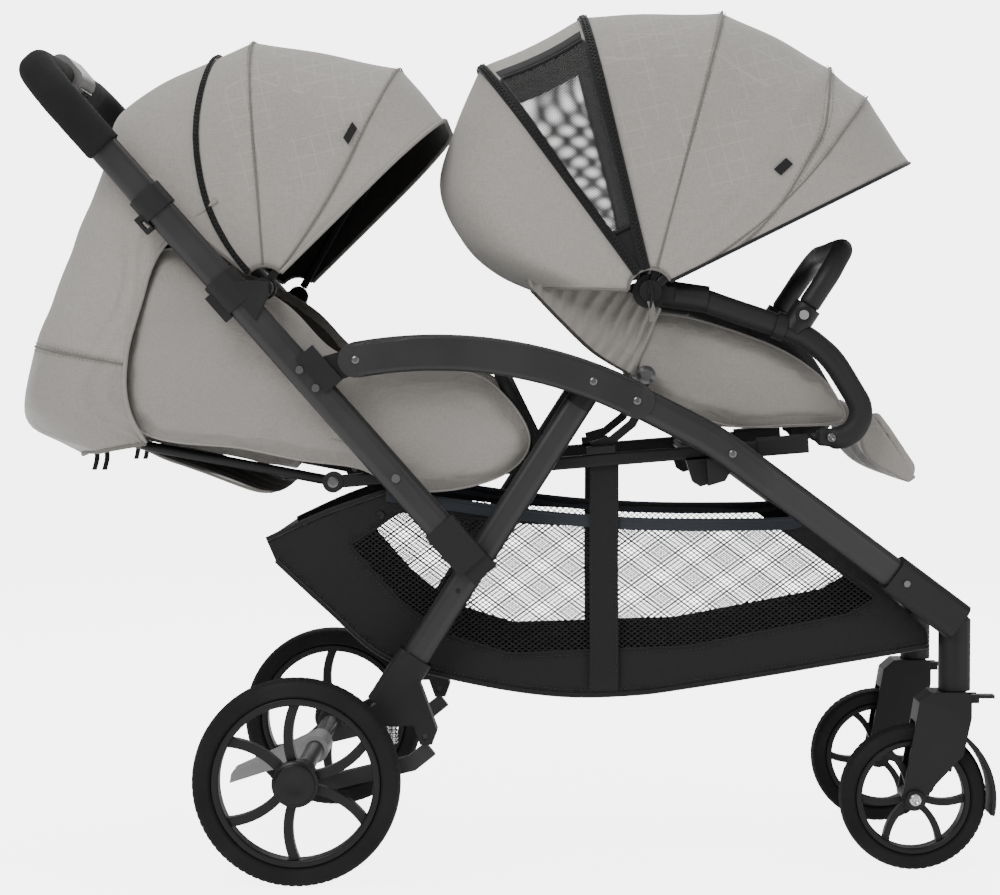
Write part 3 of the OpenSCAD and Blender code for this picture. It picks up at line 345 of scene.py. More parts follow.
def coords(o):
    co = np.zeros(len(o.data.vertices) * 3)
    o.data.vertices.foreach_get("co", co)
    return co.reshape(-1, 3)


def set_coords(o, co):
    o.data.vertices.foreach_set("co", np.asarray(co, np.float32).ravel())
    o.data.update()


def normals_of(o):
    n = np.zeros(len(o.data.vertices) * 3)
    o.data.vertices.foreach_get("normal", n)
    return n.reshape(-1, 3)


def grid_faces(rows, cols, wrap=False, closed=False):
    """Quads of a grid of points: wrap joins its last column to its first, closed its rows."""
    faces = []
    for i in range(rows if closed else rows - 1):
        below = (i + 1) % rows * cols
        for j in range(cols if wrap else cols - 1):
            k = (j + 1) % cols
            faces.append((i * cols + j, i * cols + k, below + k, below + j))
    return faces


def end_caps(rows, cols):
    """The two flat ends of a wrapped grid."""
    return [tuple(range(cols))[::-1], tuple((rows - 1) * cols + k for k in range(cols))]


def thicken(o, thickness, offset=0, **values):
    """Gives a sheet its thickness and one level of smoothing."""
    modify(o, "SOLIDIFY", thickness=thickness, offset=offset, **values)
    modify(o, "SUBSURF", levels=1, render_levels=1)
    bake_modifiers(o)
    set_smooth(o.data)


def resample(points, step):
    """Points evenly spaced along a chain of points, and its two ends."""
    p = np.array(points, float)
    seg = np.linalg.norm(np.diff(p, axis=0), axis=1)
    s = np.concatenate([[0], np.cumsum(seg)])
    n = max(2, int(round(s[-1] / step)) + 1)
    t = np.linspace(0, s[-1], n)
    return np.stack([np.interp(t, s, p[:, k]) for k in range(p.shape[1])], 1)


def evenly(line, t):
    """A side-view line at the shares t of its points."""
    return np.stack([np.interp(t, np.linspace(0, 1, len(line)), line[:, k]) for k in (0, 1)], 1)


def curved(points, closed=False, n=8):
    """A smooth curve through the points."""
    p = np.array(points, float)
    k = len(p)
    out = []
    for i in range(k if closed else k - 1):
        if closed:
            a, b, c, d = (p[(i + j) % k] for j in (-1, 0, 1, 2))
        else:
            a, b, c, d = p[max(0, i - 1)], p[i], p[i + 1], p[min(k - 1, i + 2)]
        for t in np.arange(n) / n:
            out.append(0.5 * (2 * b + (c - a) * t + (2 * a - 5 * b + 4 * c - d) * t * t
                              + (3 * b - a - 3 * c + d) * t ** 3))
    if not closed:
        out.append(p[-1])
    return np.array(out)


def frames_along(p, closed=False):
    """Direction and two steady normals at each point of a line."""
    t = np.gradient(p, axis=0)
    if closed:
        t = np.roll(p, -1, 0) - np.roll(p, 1, 0)
    t /= np.maximum(np.linalg.norm(t, axis=1), 1e-12)[:, None]
    up = np.array([0.0, 1.0, 0.0]) if abs(t[0][1]) < 0.8 else np.array([1.0, 0, 0])
    n = []
    for v in t:
        up = up - v * (up @ v)
        up /= max(np.linalg.norm(up), 1e-12)
        n.append(up)
    n = np.array(n)
    return t, n, np.cross(t, n)


def circle(centre, n, b, radius, sides):
    turns = [2 * math.pi * s / sides for s in range(sides)]
    return [centre + radius * (math.cos(a) * n + math.sin(a) * b) for a in turns]


def tube(name, points, radius, material, sides=8, closed=False):
    p = np.array(points, float)
    _, n, b = frames_along(p, closed)
    verts = [v for k in range(len(p)) for v in circle(p[k], n[k], b[k], radius, sides)]
    faces = grid_faces(len(p), sides, wrap=True, closed=closed)
    if not closed:
        faces += end_caps(len(p), sides)
    return mesh_object(name, verts, faces, material)


def ribbon(name, points, across, width, thick, material):
    """A flat strap along points; across is the direction of its width, one or one a point."""
    p = np.array(points, float)
    w = np.broadcast_to(np.array(across, float), p.shape).copy()
    w /= np.linalg.norm(w, axis=1)[:, None]
    t = np.gradient(p, axis=0)
    n = np.cross(t, w)
    n /= np.maximum(np.linalg.norm(n, axis=1), 1e-12)[:, None]
    ring = [(-0.5, -0.25), (-0.46, -0.5), (0.46, -0.5), (0.5, -0.25), (0.5, 0.25),
            (0.46, 0.5), (-0.46, 0.5), (-0.5, 0.25)]
    verts = [p[k] + w[k] * width * a + n[k] * thick * b for k in range(len(p)) for a, b in ring]
    faces = grid_faces(len(p), 8, wrap=True) + end_caps(len(p), 8)
    return mesh_object(name, verts, faces, material, smooth=False)


def stitches(name, points, material="thread", radius=0.0005, length=0.0034, gap=0.0018):
    """A row of stitches along a line, as one mesh of short threads."""
    sides = 5
    one = grid_faces(3, sides, wrap=True) + end_caps(3, sides)
    p = resample(points, 0.0008)
    s = np.concatenate([[0], np.cumsum(np.linalg.norm(np.diff(p, axis=0), axis=1))])
    verts, faces = [], []
    start = gap
    while start + length < s[-1]:
        ends = [np.array([np.interp(x, s, p[:, k]) for k in range(3)])
                for x in (start, start + length / 2, start + length)]
        _, n, b = frames_along(np.array(ends))
        faces += [tuple(len(verts) + q for q in f) for f in one]
        for k, share in enumerate((0.5, 1.0, 0.5)):
            verts += circle(ends[k], n[k], b[k], share * radius, sides)
        start += length + gap
    return mesh_object(name, verts, faces, material)


def lattice(name, polygon, cell, surface, material, thick):
    """A net of diamonds inside polygon, a list of (x, z), laid on y = surface(x, z)."""
    poly = np.array(polygon, float)
    lo, hi = poly.min(0), poly.max(0)
    cx, cz = cell
    index, verts, faces = {}, [], []

    def vert(i, k):
        if (i, k) not in index:
            index[(i, k)] = len(verts)
            x, z = lo[0] + i * cx / 2, lo[1] + k * cz / 2
            verts.append((x, surface(x, z), z))
        return index[(i, k)]

    for i in range(int((hi[0] - lo[0]) / cx * 2) + 2):
        for k in range(int((hi[1] - lo[1]) / cz * 2) + 2):
            if (i + k) % 2:
                continue
            if inside(lo[0] + i * cx / 2, lo[1] + k * cz / 2, poly):
                faces.append([vert(i - 1, k), vert(i, k - 1), vert(i + 1, k), vert(i, k + 1)])
    o = mesh_object(name, verts, faces, material)
    modify(o, "WIREFRAME", thickness=thick, use_even_offset=False, use_boundary=True)
    return bake_modifiers(o)


def inside(x, z, poly):
    """Whether a point of the side view lies in a polygon."""
    a, b = poly, np.roll(poly, -1, 0)
    cross = (a[:, 1] > z) != (b[:, 1] > z)
    with np.errstate(divide="ignore", invalid="ignore"):
        at = a[:, 0] + (z - a[:, 1]) * (b[:, 0] - a[:, 0]) / (b[:, 1] - a[:, 1])
    return bool(np.sum(cross & (x < at)) % 2)


def wrinkle(o, depth, scale, stretch=(1, 1, 1), seed=0.0):
    """Moves each point a little along its normal, in soft folds."""
    co, normals = coords(o), normals_of(o)
    s = np.array(stretch) * scale
    d = [noise.noise(Vector(c * s) + Vector((seed, seed * 0.7, -seed))) for c in co]
    set_coords(o, co + normals * (np.array(d) * depth)[:, None])


def ride_all(objects, body):
    for o in objects:
        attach(o, body)


# ------------------------------------------------------------------ hoods
def arch(hem, outer, half, corner, ns=12, na=9, nt=7):
    """Points of one hoop of cloth from the left hem over the top to the right hem."""
    hem, outer = np.array(hem, float), np.array(outer, float)
    length = np.linalg.norm(outer - hem)
    e = (outer - hem) / length
    c = min(corner, length * 0.8)
    side = [(q, half) for q in np.linspace(0, length - c, ns)]
    side += [(length - c + c * math.sin(a), half - c + c * math.cos(a))
             for a in np.linspace(0, math.pi / 2, na)[1:]]
    side += [(length, y) for y in np.linspace(half - c, 0, nt)[1:]]
    both = side + [(q, -y) for q, y in side[-2::-1]]
    return np.array([[hem[0] + e[0] * q, y, hem[1] + e[1] * q] for q, y in both])


def hood_grid(stations, half, corner, creases, fine=2.5, sag=0.006):
    """Hoops through stations of (key, hem, outer): smooth between creases, where cloth dips."""
    stops = [stations[0][0], *creases, stations[-1][0]]
    rows, out_keys = [], []
    for c0, c1 in zip(stops, stops[1:]):
        part = [st for st in stations if c0 - 1e-6 <= st[0] <= c1 + 1e-6]
        at = [st[0] for st in part]
        lines = []
        for k in (1, 2):
            p = curved([st[k] for st in part], n=12)
            where = np.interp(np.arange(len(p)) / 12, np.arange(len(at)), at)
            lines.append((where, p))
        n = max(2, int(round(abs(c1 - c0) / fine)))
        for i in range(n + (c1 == stops[-1])):
            key = c0 + (c1 - c0) * i / n
            h, o = (np.array([np.interp(key, w, p[:, q]) for q in (0, 1)]) for w, p in lines)
            p = arch(h, o, half, corner)
            dip = sag * math.sin(math.pi * i / n) * min(1.0, abs(c1 - c0) / 18)
            inward = np.array([h[0], 0, h[1]]) - p
            inward /= np.maximum(np.linalg.norm(inward, axis=1), 1e-9)[:, None]
            grow = np.linspace(0, 1, len(p))
            w = np.minimum(1, np.minimum(grow, 1 - grow) * 5)
            rows.append(p + inward * (dip * w)[:, None])
            out_keys.append(key)
    return np.array(rows), np.array(out_keys)


def grid_area(grid):
    du, dv = np.diff(grid, axis=0)[:, :-1], np.diff(grid, axis=1)[:-1]
    return round(float(np.linalg.norm(np.cross(du, dv), axis=2).sum()), 4)


def outward(grid):
    """Unit normals of a grid of points, pointing away from its middle."""
    du, dv = np.gradient(grid, axis=0), np.gradient(grid, axis=1)
    n = np.cross(du, dv)
    n /= np.maximum(np.linalg.norm(n, axis=2), 1e-12)[..., None]
    c = grid.reshape(-1, 3).mean(0)
    if np.sum(n * (grid - c)) < 0:
        n = -n
    return n


def row_at(grid, keys, key):
    """The hoop at a key, which may differ from column to column."""
    f = np.interp(np.broadcast_to(key, grid.shape[1]), keys, np.arange(len(keys)))
    i = np.minimum(f.astype(int), len(keys) - 2)
    c, t = np.arange(grid.shape[1]), (f - i)[:, None]
    return grid[i, c] * (1 - t) + grid[i + 1, c] * t


class Hood:
    """A canopy or flap: one curved sheet with its seams, zips and bindings."""

    def __init__(self, name, grid, keys, zone, materials, thick=0.0014):
        self.name, self.grid, self.keys = name, grid, keys
        self.normal = outward(grid)
        rows, cols = grid.shape[:2]
        faces, index = [], []
        for i in range(rows - 1):
            for j in range(cols - 1):
                z = zone((keys[i] + keys[i + 1]) / 2, min(j, cols - 2 - j))
                if z is None:
                    continue
                a = i * cols + j
                faces.append((a, a + 1, a + cols + 1, a + cols))
                index.append(z)
        self.sheet = mesh_object(name, grid.reshape(-1, 3), faces, materials, index)
        mid = self.sheet.data.polygons[len(faces) // 2]
        flat = self.normal.reshape(-1, 3)[mid.vertices[0]]
        if Vector(flat).dot(mid.normal) < 0:
            self.sheet.data.flip_normals()
        wrinkle(self.sheet, 0.0022, 11, seed=len(name))
        modify(self.sheet, "SUBSURF", levels=1, render_levels=1)
        modify(self.sheet, "SOLIDIFY", thickness=thick, offset=-1,
               material_offset=len(materials) - 1)
        bake_modifiers(self.sheet)
        self.extra = []

    def slant(self, top, low, pivot, reach):
        """Keys of a seam that runs at top over the crown and nears low at the pivot."""
        mid = self.grid[int(np.argmin(np.abs(self.keys - top)))]
        share = np.hypot(mid[:, 0] - pivot[0], mid[:, 2] - pivot[1]) / reach
        return low + (top - low) * np.clip(share, 0, 1)

    def line(self, key, lift):
        """The hoop at a key, lifted off the sheet."""
        return row_at(self.grid, self.keys, key) + row_at(self.normal, self.keys, key) * lift

    def seam(self, key, double=True, radius=0.0013):
        """A welted seam with a row of stitches beside it, or one on each side."""
        i = len(self.extra)
        line = resample(self.line(key, 0.0004), 0.006)
        self.extra.append(tube(f"{self.name}_seam_{i}", line, radius, "seam", 6))
        for s in ((-0.9, 0.9) if double else (0.7,)):
            self.extra.append(stitches(f"{self.name}_stitch_{i}_{'a' if s < 0 else 'b'}",
                                       self.line(key + s, 0.0007)))

    def zipper(self, key, width=0.011):
        """A tape over the seam, with two rows of square teeth along its middle."""
        tape_lift, teeth_lift, tooth_pitch = 0.0016, 0.0028, 0.0026
        i = len(self.extra)
        line = resample(self.line(key, tape_lift), 0.005)
        near = row_at(self.grid, self.keys, key + 1.0) - row_at(self.grid, self.keys, key - 1.0)
        idx = np.linspace(0, len(near) - 1, len(line))
        across = np.stack([np.interp(idx, np.arange(len(near)), near[:, k])
                           for k in range(3)], 1)
        self.extra.append(ribbon(f"{self.name}_zip_tape_{i}", line, across, width, 0.0014,
                                 "black_cloth"))
        top = resample(self.line(key, teeth_lift), tooth_pitch)
        verts, faces = [], []
        t, _, _ = frames_along(top)
        for k, c in enumerate(top):
            s = 1 if k % 2 else -1
            w = unit(across[int(k / len(top) * len(across))])
            c = c + w * 0.0011 * s
            base = len(verts)
            u = unit(np.cross(t[k], w))
            for x, y, z in ((-1, -1, -1), (1, -1, -1), (1, 1, -1), (-1, 1, -1),
                            (-1, -1, 1), (1, -1, 1), (1, 1, 1), (-1, 1, 1)):
                verts.append(c + t[k] * 0.0009 * x + w * 0.0019 * y + u * 0.0009 * z)
            faces += [tuple(base + q for q in f) for f in (
                (0, 3, 2, 1), (4, 5, 6, 7), (0, 1, 5, 4), (1, 2, 6, 5), (2, 3, 7, 6),
                (3, 0, 4, 7))]
        self.extra.append(mesh_object(f"{self.name}_zip_teeth_{i}", verts, faces, "plastic",
                                      smooth=False))

    def edge(self, which, material, radius, name="edge"):
        """Binding along the first or last hoop, or along a hem, which is 'a' or 'b'."""
        if which in (0, -1):
            line = self.grid[which]
        else:
            line = self.grid[:, 0 if which == "a" else -1]
        line = resample(line, 0.006)
        self.extra.append(tube(f"{self.name}_{name}_{which}", line, radius, material))


    def bind(self, front, back, hem):
        """Binding on the first hoop, the last hoop and both hems, each (material, radius)."""
        self.edge(0, *front)
        self.edge(-1, *back)
        self.edge("a", *hem, "hem")
        self.edge("b", *hem, "hem")

    def label(self, name, side, key, column, along, width):
        """A small blank label sewn into a seam, that many columns from the hem."""
        row = row_at(self.grid, self.keys, key)[::side]
        a, b = row[column], row[column + 1]
        lift = np.array((0, side * 0.0022, 0))
        line = np.array([a + lift, (a + b) / 2 + lift * 1.2, b + lift])
        self.extra.append(ribbon(name, line, along, width, 0.0016, "black_cloth"))

    def declare(self):
        width = float(np.linalg.norm(np.diff(self.grid, axis=1), axis=2).sum(1).max())
        length = float(np.linalg.norm(np.diff(self.grid, axis=0), axis=2).sum(0).max())
        min(grid_area(self.grid), width * length)
        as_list(self.extra)

    def blend(self):
        """Bakes each piece's placement into its own mesh."""
        for o in [self.sheet, *self.extra]:
            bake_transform(o)


def canopy_stations(pivot, reach, table, hem_radius=0.026):
    return [(a, pivot + polar(hem_radius, a), pivot + polar(r * reach, a)) for a, r in table]


# ------------------------------------------------------------------ front canopy
fp = joint_xz("front_canopy_fold")
front_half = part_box("front_canopy")[1][1]
FRONT_R = 0.346
LIP, VISOR, CROWN = 41.7, 51, 75.2  # seams, in degrees round the pivot
WINDOW = (105.6, 124.4)
ZIPS = (103.6, 126.4)
OPENING = (3, 15)  # columns from the hem that the window's net covers
GRID_FROM = 5  # columns of plain cloth beside the hem
CANOPY_CORNER = 0.11
front_table = [(26.3, 1.012), (34, 1.02), (LIP, 1.018), (VISOR, 1.002), (63, 1.006),
               (CROWN, 1.005), (90, 0.983), (103, 0.98), (WINDOW[0], 0.978),
               (WINDOW[1], 0.975), (127, 0.972), (139, 0.9), (153, 0.83), (164, 0.688),
               (172, 0.53), (178, 0.378)]
grid, keys = hood_grid(canopy_stations(fp, FRONT_R, front_table), front_half - 0.001,
                       CANOPY_CORNER, (LIP, VISOR, CROWN, 103, 127))


def front_zone(key, j):
    """Material slot of a face, or None in the window's opening; j counts from the hem."""
    if WINDOW[0] < key < WINDOW[1]:
        if OPENING[0] <= j < OPENING[1]:
            return None
        return 1 if j <= OPENING[1] else 0
    return 2 if 41 < key < 104 and j > GRID_FROM else 0


front = Hood("front_canopy_cloth", grid, keys, front_zone,
             ["cloth", "black_cloth", "cloth_grid", "inside"])
front.seam(CROWN)
front.seam(front.slant(VISOR, 15, fp, FRONT_R))
front.seam(front.slant(LIP, 24, fp, FRONT_R), double=False, radius=0.001)
for key in ZIPS:
    front.zipper(key)
front.bind(("black_cloth", 0.0019), ("seam", 0.0018), ("seam", 0.0018))


def window_outline(hood):
    """The window's outline in the side view, and the rows that it takes."""
    low, high = OPENING
    rows = [i for i, k in enumerate(hood.keys) if WINDOW[0] <= k + 0.6 and k - 0.6 <= WINDOW[1]]
    a, b = rows[0], rows[-1]
    g = hood.grid
    out = [g[i, low] for i in rows] + [g[b, j] for j in range(low, high + 1)]
    out += [g[i, high] for i in rows[::-1]] + [g[a, j] for j in range(high, low - 1, -1)]
    return [(p[0], p[2]) for p in out], rows


outline, rows = window_outline(front)
patch = front.grid[rows[0]:rows[-1] + 1, :OPENING[1] + 1].reshape(-1, 3)


def on_patch(side):
    """The depth of the window's net on one side, from the nearest points of the canopy."""
    def surface(x, z):
        d = (patch[:, 0] - x) ** 2 + (patch[:, 2] - z) ** 2
        near = np.argsort(d)[:4]
        w = 1 / (d[near] + 1e-7)
        return side * (float((patch[near, 1] * w).sum() / w.sum()) - 0.0012)
    return surface


for side, word in SIDES:
    front.extra.append(lattice(f"front_canopy_net_{word}", outline, (0.0040, 0.0031),
                               on_patch(side), "window_net", 0.0017))
    ring = [np.array((x, on_patch(side)(x, z) + side * 0.002, z)) for x, z in outline]
    front.extra.append(tube(f"front_window_binding_{word}", resample(ring, 0.006), 0.0022,
                            "black_cloth", 6))

# on each side a zip pull with its grey tab beside the pivot, and a label in a seam
for side, word in SIDES:
    y = side * (front_half + 0.004)
    base = np.array((fp[0] - 0.002, y, fp[1] + 0.012))
    cord = curved([base, base + (0.003, side * 0.002, -0.016), base + (0.001, 0, -0.034)])
    front.extra.append(tube(f"zip_pull_cord_{word}", cord, 0.0016, "gloss", 8))
    tab = curved([base + (0.001, 0, -0.024), base + (0.004, side * 0.001, -0.036),
                  base + (0.003, side * 0.003, -0.048)])
    front.extra.append(ribbon(f"zip_pull_tab_{word}", tab, (1, 0, 0.1), 0.007, 0.002, "seam"))
    front.label(f"seam_label_{word}", side, 43.5, 9, (0.75, 0, -0.66), 0.011)
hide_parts("front_canopy")
front.declare()
front.blend()

# ------------------------------------------------------------------ rear canopy
rp = joint_xz("rear_canopy_fold")
rear_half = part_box("rear_canopy")[1][1]
REAR_R = 0.300
REAR_LIP, REAR_CROWN, REAR_END = 60, 94.4, 141.5
REAR_END_SHARE = 0.838
rear_table = [(44.5, 0.967), (52, 1.0), (REAR_LIP, 1.022), (78, 0.988), (REAR_CROWN, 0.994),
              (105, 0.962), (118, 0.962), (130.5, 0.952), (136, 0.91),
              (REAR_END, REAR_END_SHARE)]
grid, keys = hood_grid(canopy_stations(rp, REAR_R, rear_table), rear_half - 0.001,
                       CANOPY_CORNER, (REAR_LIP, REAR_CROWN))
rear = Hood("rear_canopy_cloth", grid, keys, lambda key, j: int(61 < key < 104 and j > GRID_FROM),
            ["cloth", "cloth_grid", "lining"])
rear.seam(REAR_CROWN)
rear.seam(rear.slant(REAR_LIP, 50, rp, REAR_R), double=False, radius=0.001)
rear.zipper(rear.slant(102, 139, rp, REAR_R), width=0.008)
rear.bind(("piping", 0.0028), ("seam", 0.002), ("seam", 0.002))
for side, word in SIDES:
    rear.label(f"rear_seam_label_{word}", side, 61.5, 11, (0.6, 0, -0.8), 0.010)
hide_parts("rear_canopy")
rear.declare()
rear.blend()

# ------------------------------------------------------------------ rear flap
FLAP_START_SHARE = 0.832
FLAP_SEAM = 62  # percent of the drop, below which the cloth is smooth
flap_hem = curved([(-0.335, 0.790), (-0.400, 0.735), (-0.425, 0.672), (-0.443, 0.604),
                   (-0.441, 0.548), (-0.420, 0.506)], n=6)
flap_top = tuple(rp + polar(REAR_R * FLAP_START_SHARE, REAR_END))
flap_out = curved([flap_top, (-0.499, 0.786), (-0.531, 0.708), (-0.560, 0.630),
                   (-0.577, 0.534), (-0.505, 0.490)], n=6)
drops = np.linspace(0, 1, 25)
flap_half = rear_half - 0.004
grid, keys = hood_grid(list(zip(100 * drops, evenly(flap_hem, drops), evenly(flap_out, drops))),
                       flap_half, 0.075, (), fine=4, sag=0)
drape = np.array([[0.004 * math.sin(3.2 * v + 2.0 * math.sin(0.11 * k)) for v in
                   np.linspace(0, 9, grid.shape[1])] for k in keys])
ease = np.clip(keys / 30, 0, 1)[:, None] * np.ones(grid.shape[1])
grid = grid - outward(grid) * (np.abs(drape) * ease)[..., None]
flap = Hood("back_flap_cloth", grid, keys, lambda key, j: int(key >= FLAP_SEAM),
            ["cloth", "satin", "lining"])
flap.seam(FLAP_SEAM)
flap.edge(-1, "seam", 0.0024)
flap.edge("a", "piping", 0.0028, "hem")
flap.edge("b", "piping", 0.0028, "hem")
for dx in (0, 0.012):
    for side, word in SIDES:
        at = np.array((-0.486 + dx, side * 0.16, 0.499))
        flap.extra.append(ribbon(f"flap_tab_{word}_{int(dx * 1000)}", curved([
            at, at + (0.001, side * 0.002, -0.012), at + (-0.002, side * 0.004, -0.026)]),
            (1, 0.2, 0), 0.006, 0.0016, "webbing"))
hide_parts("back_flap")
flap.declare()
ride_all([flap.sheet, *flap.extra], "push_bar")


# ------------------------------------------------------------------ padded pieces
def around(outline, step):
    """Points evenly spaced round a closed outline."""
    return resample(np.vstack([outline, outline[:1]]), step)[:-1]


def prism(name, outline, y0, y1, material):
    """A closed slab with that outline in the side view, from y0 to y1."""
    ring = around(outline, 0.008)
    verts = [(x, y, z) for y in (y0, y1) for x, z in ring]
    faces = grid_faces(2, len(ring), wrap=True) + end_caps(2, len(ring))
    return mesh_object(name, verts, faces, material)


def puff(o, cap, fold, seed, stretch=(1, 1, 1), frames=20):
    """Fills the closed mesh like a cushion: remesh, then cloth under pressure, capped."""
    modify(o, "REMESH", mode="VOXEL", voxel_size=0.006)
    bake_modifiers(o)
    rest = coords(o)
    mod = modify(o, "CLOTH")
    c = mod.settings
    c.quality = 5
    c.mass = 0.3
    c.tension_stiffness = c.compression_stiffness = 12
    c.shear_stiffness = 6
    c.bending_stiffness = 0.4
    c.use_pressure = True
    c.uniform_pressure_force = 4.0
    c.shrink_min = -0.05
    c.effector_weights.gravity = 0
    mod.collision_settings.use_collision = False
    mod.point_cache.frame_start, mod.point_cache.frame_end = 1, frames
    for f in range(1, frames + 1):
        bpy.context.scene.frame_set(f)
    dg = bpy.context.evaluated_depsgraph_get()
    me = o.evaluated_get(dg).to_mesh()
    moved = np.zeros(len(rest) * 3)
    me.vertices.foreach_get("co", moved)
    moved = moved.reshape(-1, 3)
    o.evaluated_get(dg).to_mesh_clear()
    o.modifiers.clear()
    bpy.context.scene.frame_set(1)
    d = moved - rest
    far = np.linalg.norm(d, axis=1)
    d *= (np.minimum(far, cap) / np.maximum(far, 1e-9))[:, None]
    set_coords(o, rest + d)
    modify(o, "SMOOTH", factor=0.5, iterations=2)
    modify(o, "SUBSURF", levels=1, render_levels=1)
    bake_modifiers(o)
    set_smooth(o.data)
    wrinkle(o, fold, 26, stretch, seed)
    return o


def mirrored(o, name):
    me = o.data.copy()
    twin = add_object(name, me)
    co = coords(o)
    co[:, 1] *= -1
    set_coords(twin, co)
    me.flip_normals()
    return twin


def shrink(outline, by):
    """The outline moved inward by that much."""
    p = np.array(outline, float)
    a, b = p - np.roll(p, 1, 0), np.roll(p, -1, 0) - p
    n = np.stack([-(a + b)[:, 1], (a + b)[:, 0]], 1)
    n /= np.linalg.norm(n, axis=1)[:, None]
    area = np.sum(p[:, 0] * np.roll(p[:, 1], -1) - np.roll(p[:, 0], -1) * p[:, 1])
    return p + n * (by if area > 0 else -by)


def seat_side(name, outline, y_in, y_out, swell, seams):
    """A padded side panel on each side, with piping along its outline and sewn channels."""
    line = curved(outline, closed=True)
    panel = puff(prism(f"{name}_right", shrink(line, swell * 0.25), -y_out + swell * 0.6,
                       -y_in - swell * 0.3, "satin"), swell, 0.0026, len(name), (0.6, 1, 1.5))
    # Faces turned in toward the seat get the taupe painted shade, darker as if in shadow.
    panel.data.materials.append(M["taupe"])
    panel.data.polygons.foreach_set("material_index", np.array(
        [int(p.normal.y > 0.35) for p in panel.data.polygons], np.int32))
    pieces = [panel, mirrored(panel, f"{name}_left")]
    extra = []
    for side, word in SIDES:
        y = side * (y_in + y_out) / 2
        extra.append(prism(f"{name}_flange_{word}", line, y - 0.0018, y + 0.0018, "satin"))
        ring = [in_space(p, y) for p in around(line, 0.007)]
        extra.append(tube(f"{name}_piping_{word}", ring, 0.0019, "piping", closed=True))
        for k, chain in enumerate(seams):
            pts = [in_space(p, side * (y_out + 0.0005)) for p in curved(chain, n=6)]
            extra.append(stitches(f"{name}_stitch_{k}_{word}", pts))
    ride_all(pieces + extra, "chassis")


rear_line = [(-0.406, 0.728), (-0.330, 0.708), (-0.257, 0.668), (-0.198, 0.612),
             (-0.122, 0.594), (-0.040, 0.588), (0.000, 0.561), (0.027, 0.520),
             (0.022, 0.490), (-0.010, 0.466), (-0.064, 0.452), (-0.122, 0.453),
             (-0.169, 0.477), (-0.239, 0.487), (-0.309, 0.501), (-0.425, 0.520),
             (-0.448, 0.604)]
seat_side("rear_seat_side", rear_line, 0.194, 0.2045, 0.006,
          [[(-0.405, 0.690), (-0.330, 0.668), (-0.260, 0.628)],
           [(-0.430, 0.560), (-0.320, 0.540), (-0.220, 0.516), (-0.120, 0.492),
            (-0.02, 0.492)]])
rail_a, rail_b = np.array((-0.202, 0.460)), np.array((0.356, 0.506))
rail_dir = unit(rail_b - rail_a)
rail_up = np.array((-rail_dir[1], rail_dir[0]))


def slab(origin, along, up, a0, a1, base, thick=0.028):
    """Side-view outline of a pad lying along a line, base above it."""
    return np.array([origin + along * a + up * h for a, h in
                     ((a0, base), (a1, base), (a1, base + thick), (a0, base + thick))])


def pad(name, stands_for, outline, half, material, body, cap=0.008, inset=0.006):
    """A puffed cushion of that outline in the side view, in place of a CAD node."""
    ring = curved(shrink(around(outline, 0.02), inset), closed=True, n=2)
    o = puff(prism(name, ring, -half + inset, half - inset, material), cap, 0.0014,
             len(name) * 1.7)
    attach(o, body)
    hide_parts(stands_for)


pad("rear_seat_cushion", "rear_seat", slab(rail_a, rail_dir, rail_up, 0.024, 0.211, 0.0078),
    0.192, "satin", "chassis")
back_a, back_b = rail_a, np.array((-0.448, 0.506))
back_dir = unit(back_b - back_a)
back_up = np.array((back_dir[1], -back_dir[0]))
pad("rear_back_pad", "rear_seat_back", slab(back_a, back_dir, back_up, 0.032, 0.254, 0.0065),
    0.168, "satin", "rear_backrest")

front_line = [(0.068, 0.688), (0.150, 0.662), (0.222, 0.652), (0.318, 0.619), (0.370, 0.586),
              (0.394, 0.556), (0.398, 0.532), (0.330, 0.527), (0.268, 0.526), (0.207, 0.546),
              (0.160, 0.575), (0.140, 0.602)]
seat_side("front_seat_side", front_line, 0.150, 0.160, 0.0055,
          [[(0.130, 0.640), (0.220, 0.612), (0.300, 0.580), (0.370, 0.548)]])
cushion_line = np.array([(0.225, 0.528), (0.300, 0.524), (0.423, 0.527), (0.423, 0.555),
                         (0.300, 0.552), (0.222, 0.556)])
pad("front_seat_cushion", "front_seat", cushion_line, 0.150, "satin", "chassis")
piv = joint_xz("front_backrest_recline")
lean = unit(np.array((-0.077, 0.800)) - piv)
lean_up = np.array((lean[1], -lean[0]))
pad("front_back_pad", "front_seat_back", slab(piv, lean, lean_up, 0.012, 0.306, -0.002), 0.141,
    "cloth", "front_backrest")
hinge = joint_xz("calf_rest_lift")
drop = unit(np.array((0.492, 0.458)) - hinge)
drop_up = np.array((-drop[1], drop[0]))
pad("calf_rest_pad", "front_calf_rest", slab(hinge, drop, drop_up, -0.005, 0.099, -0.008, 0.016),
    0.155, "cloth", "calf_rest", cap=0.006, inset=0.004)


# ------------------------------------------------------------------ basket
def basket_half(x):
    """Half the basket's width, which narrows from the rear to the front."""
    return np.interp(x, (-0.30, 0.52), (0.2, 0.159))


BASKET_CHAIN = np.array([(-0.280, 0.393), (-0.269, 0.368), (-0.206, 0.309), (-0.140, 0.253),
                         (-0.04, 0.224), (0.065, 0.208), (0.15, 0.209), (0.217, 0.217),
                         (0.36, 0.240), (0.502, 0.264), (0.500, 0.284), (0.352, 0.419)])
BASKET_BOTTOM = BASKET_CHAIN[:10]
BASKET_TOP = np.array([(-0.280, 0.393), (-0.210, 0.425), (-0.140, 0.449), (0.036, 0.424),
                       (0.170, 0.414), (0.322, 0.414), (0.352, 0.419)])
NET = np.array([(-0.182, 0.386), (-0.123, 0.425), (0.018, 0.412), (0.170, 0.405),
                (0.325, 0.404), (0.440, 0.322), (0.410, 0.303), (0.2175, 0.265), (0.006, 0.257),
                (-0.070, 0.280), (-0.125, 0.322)])


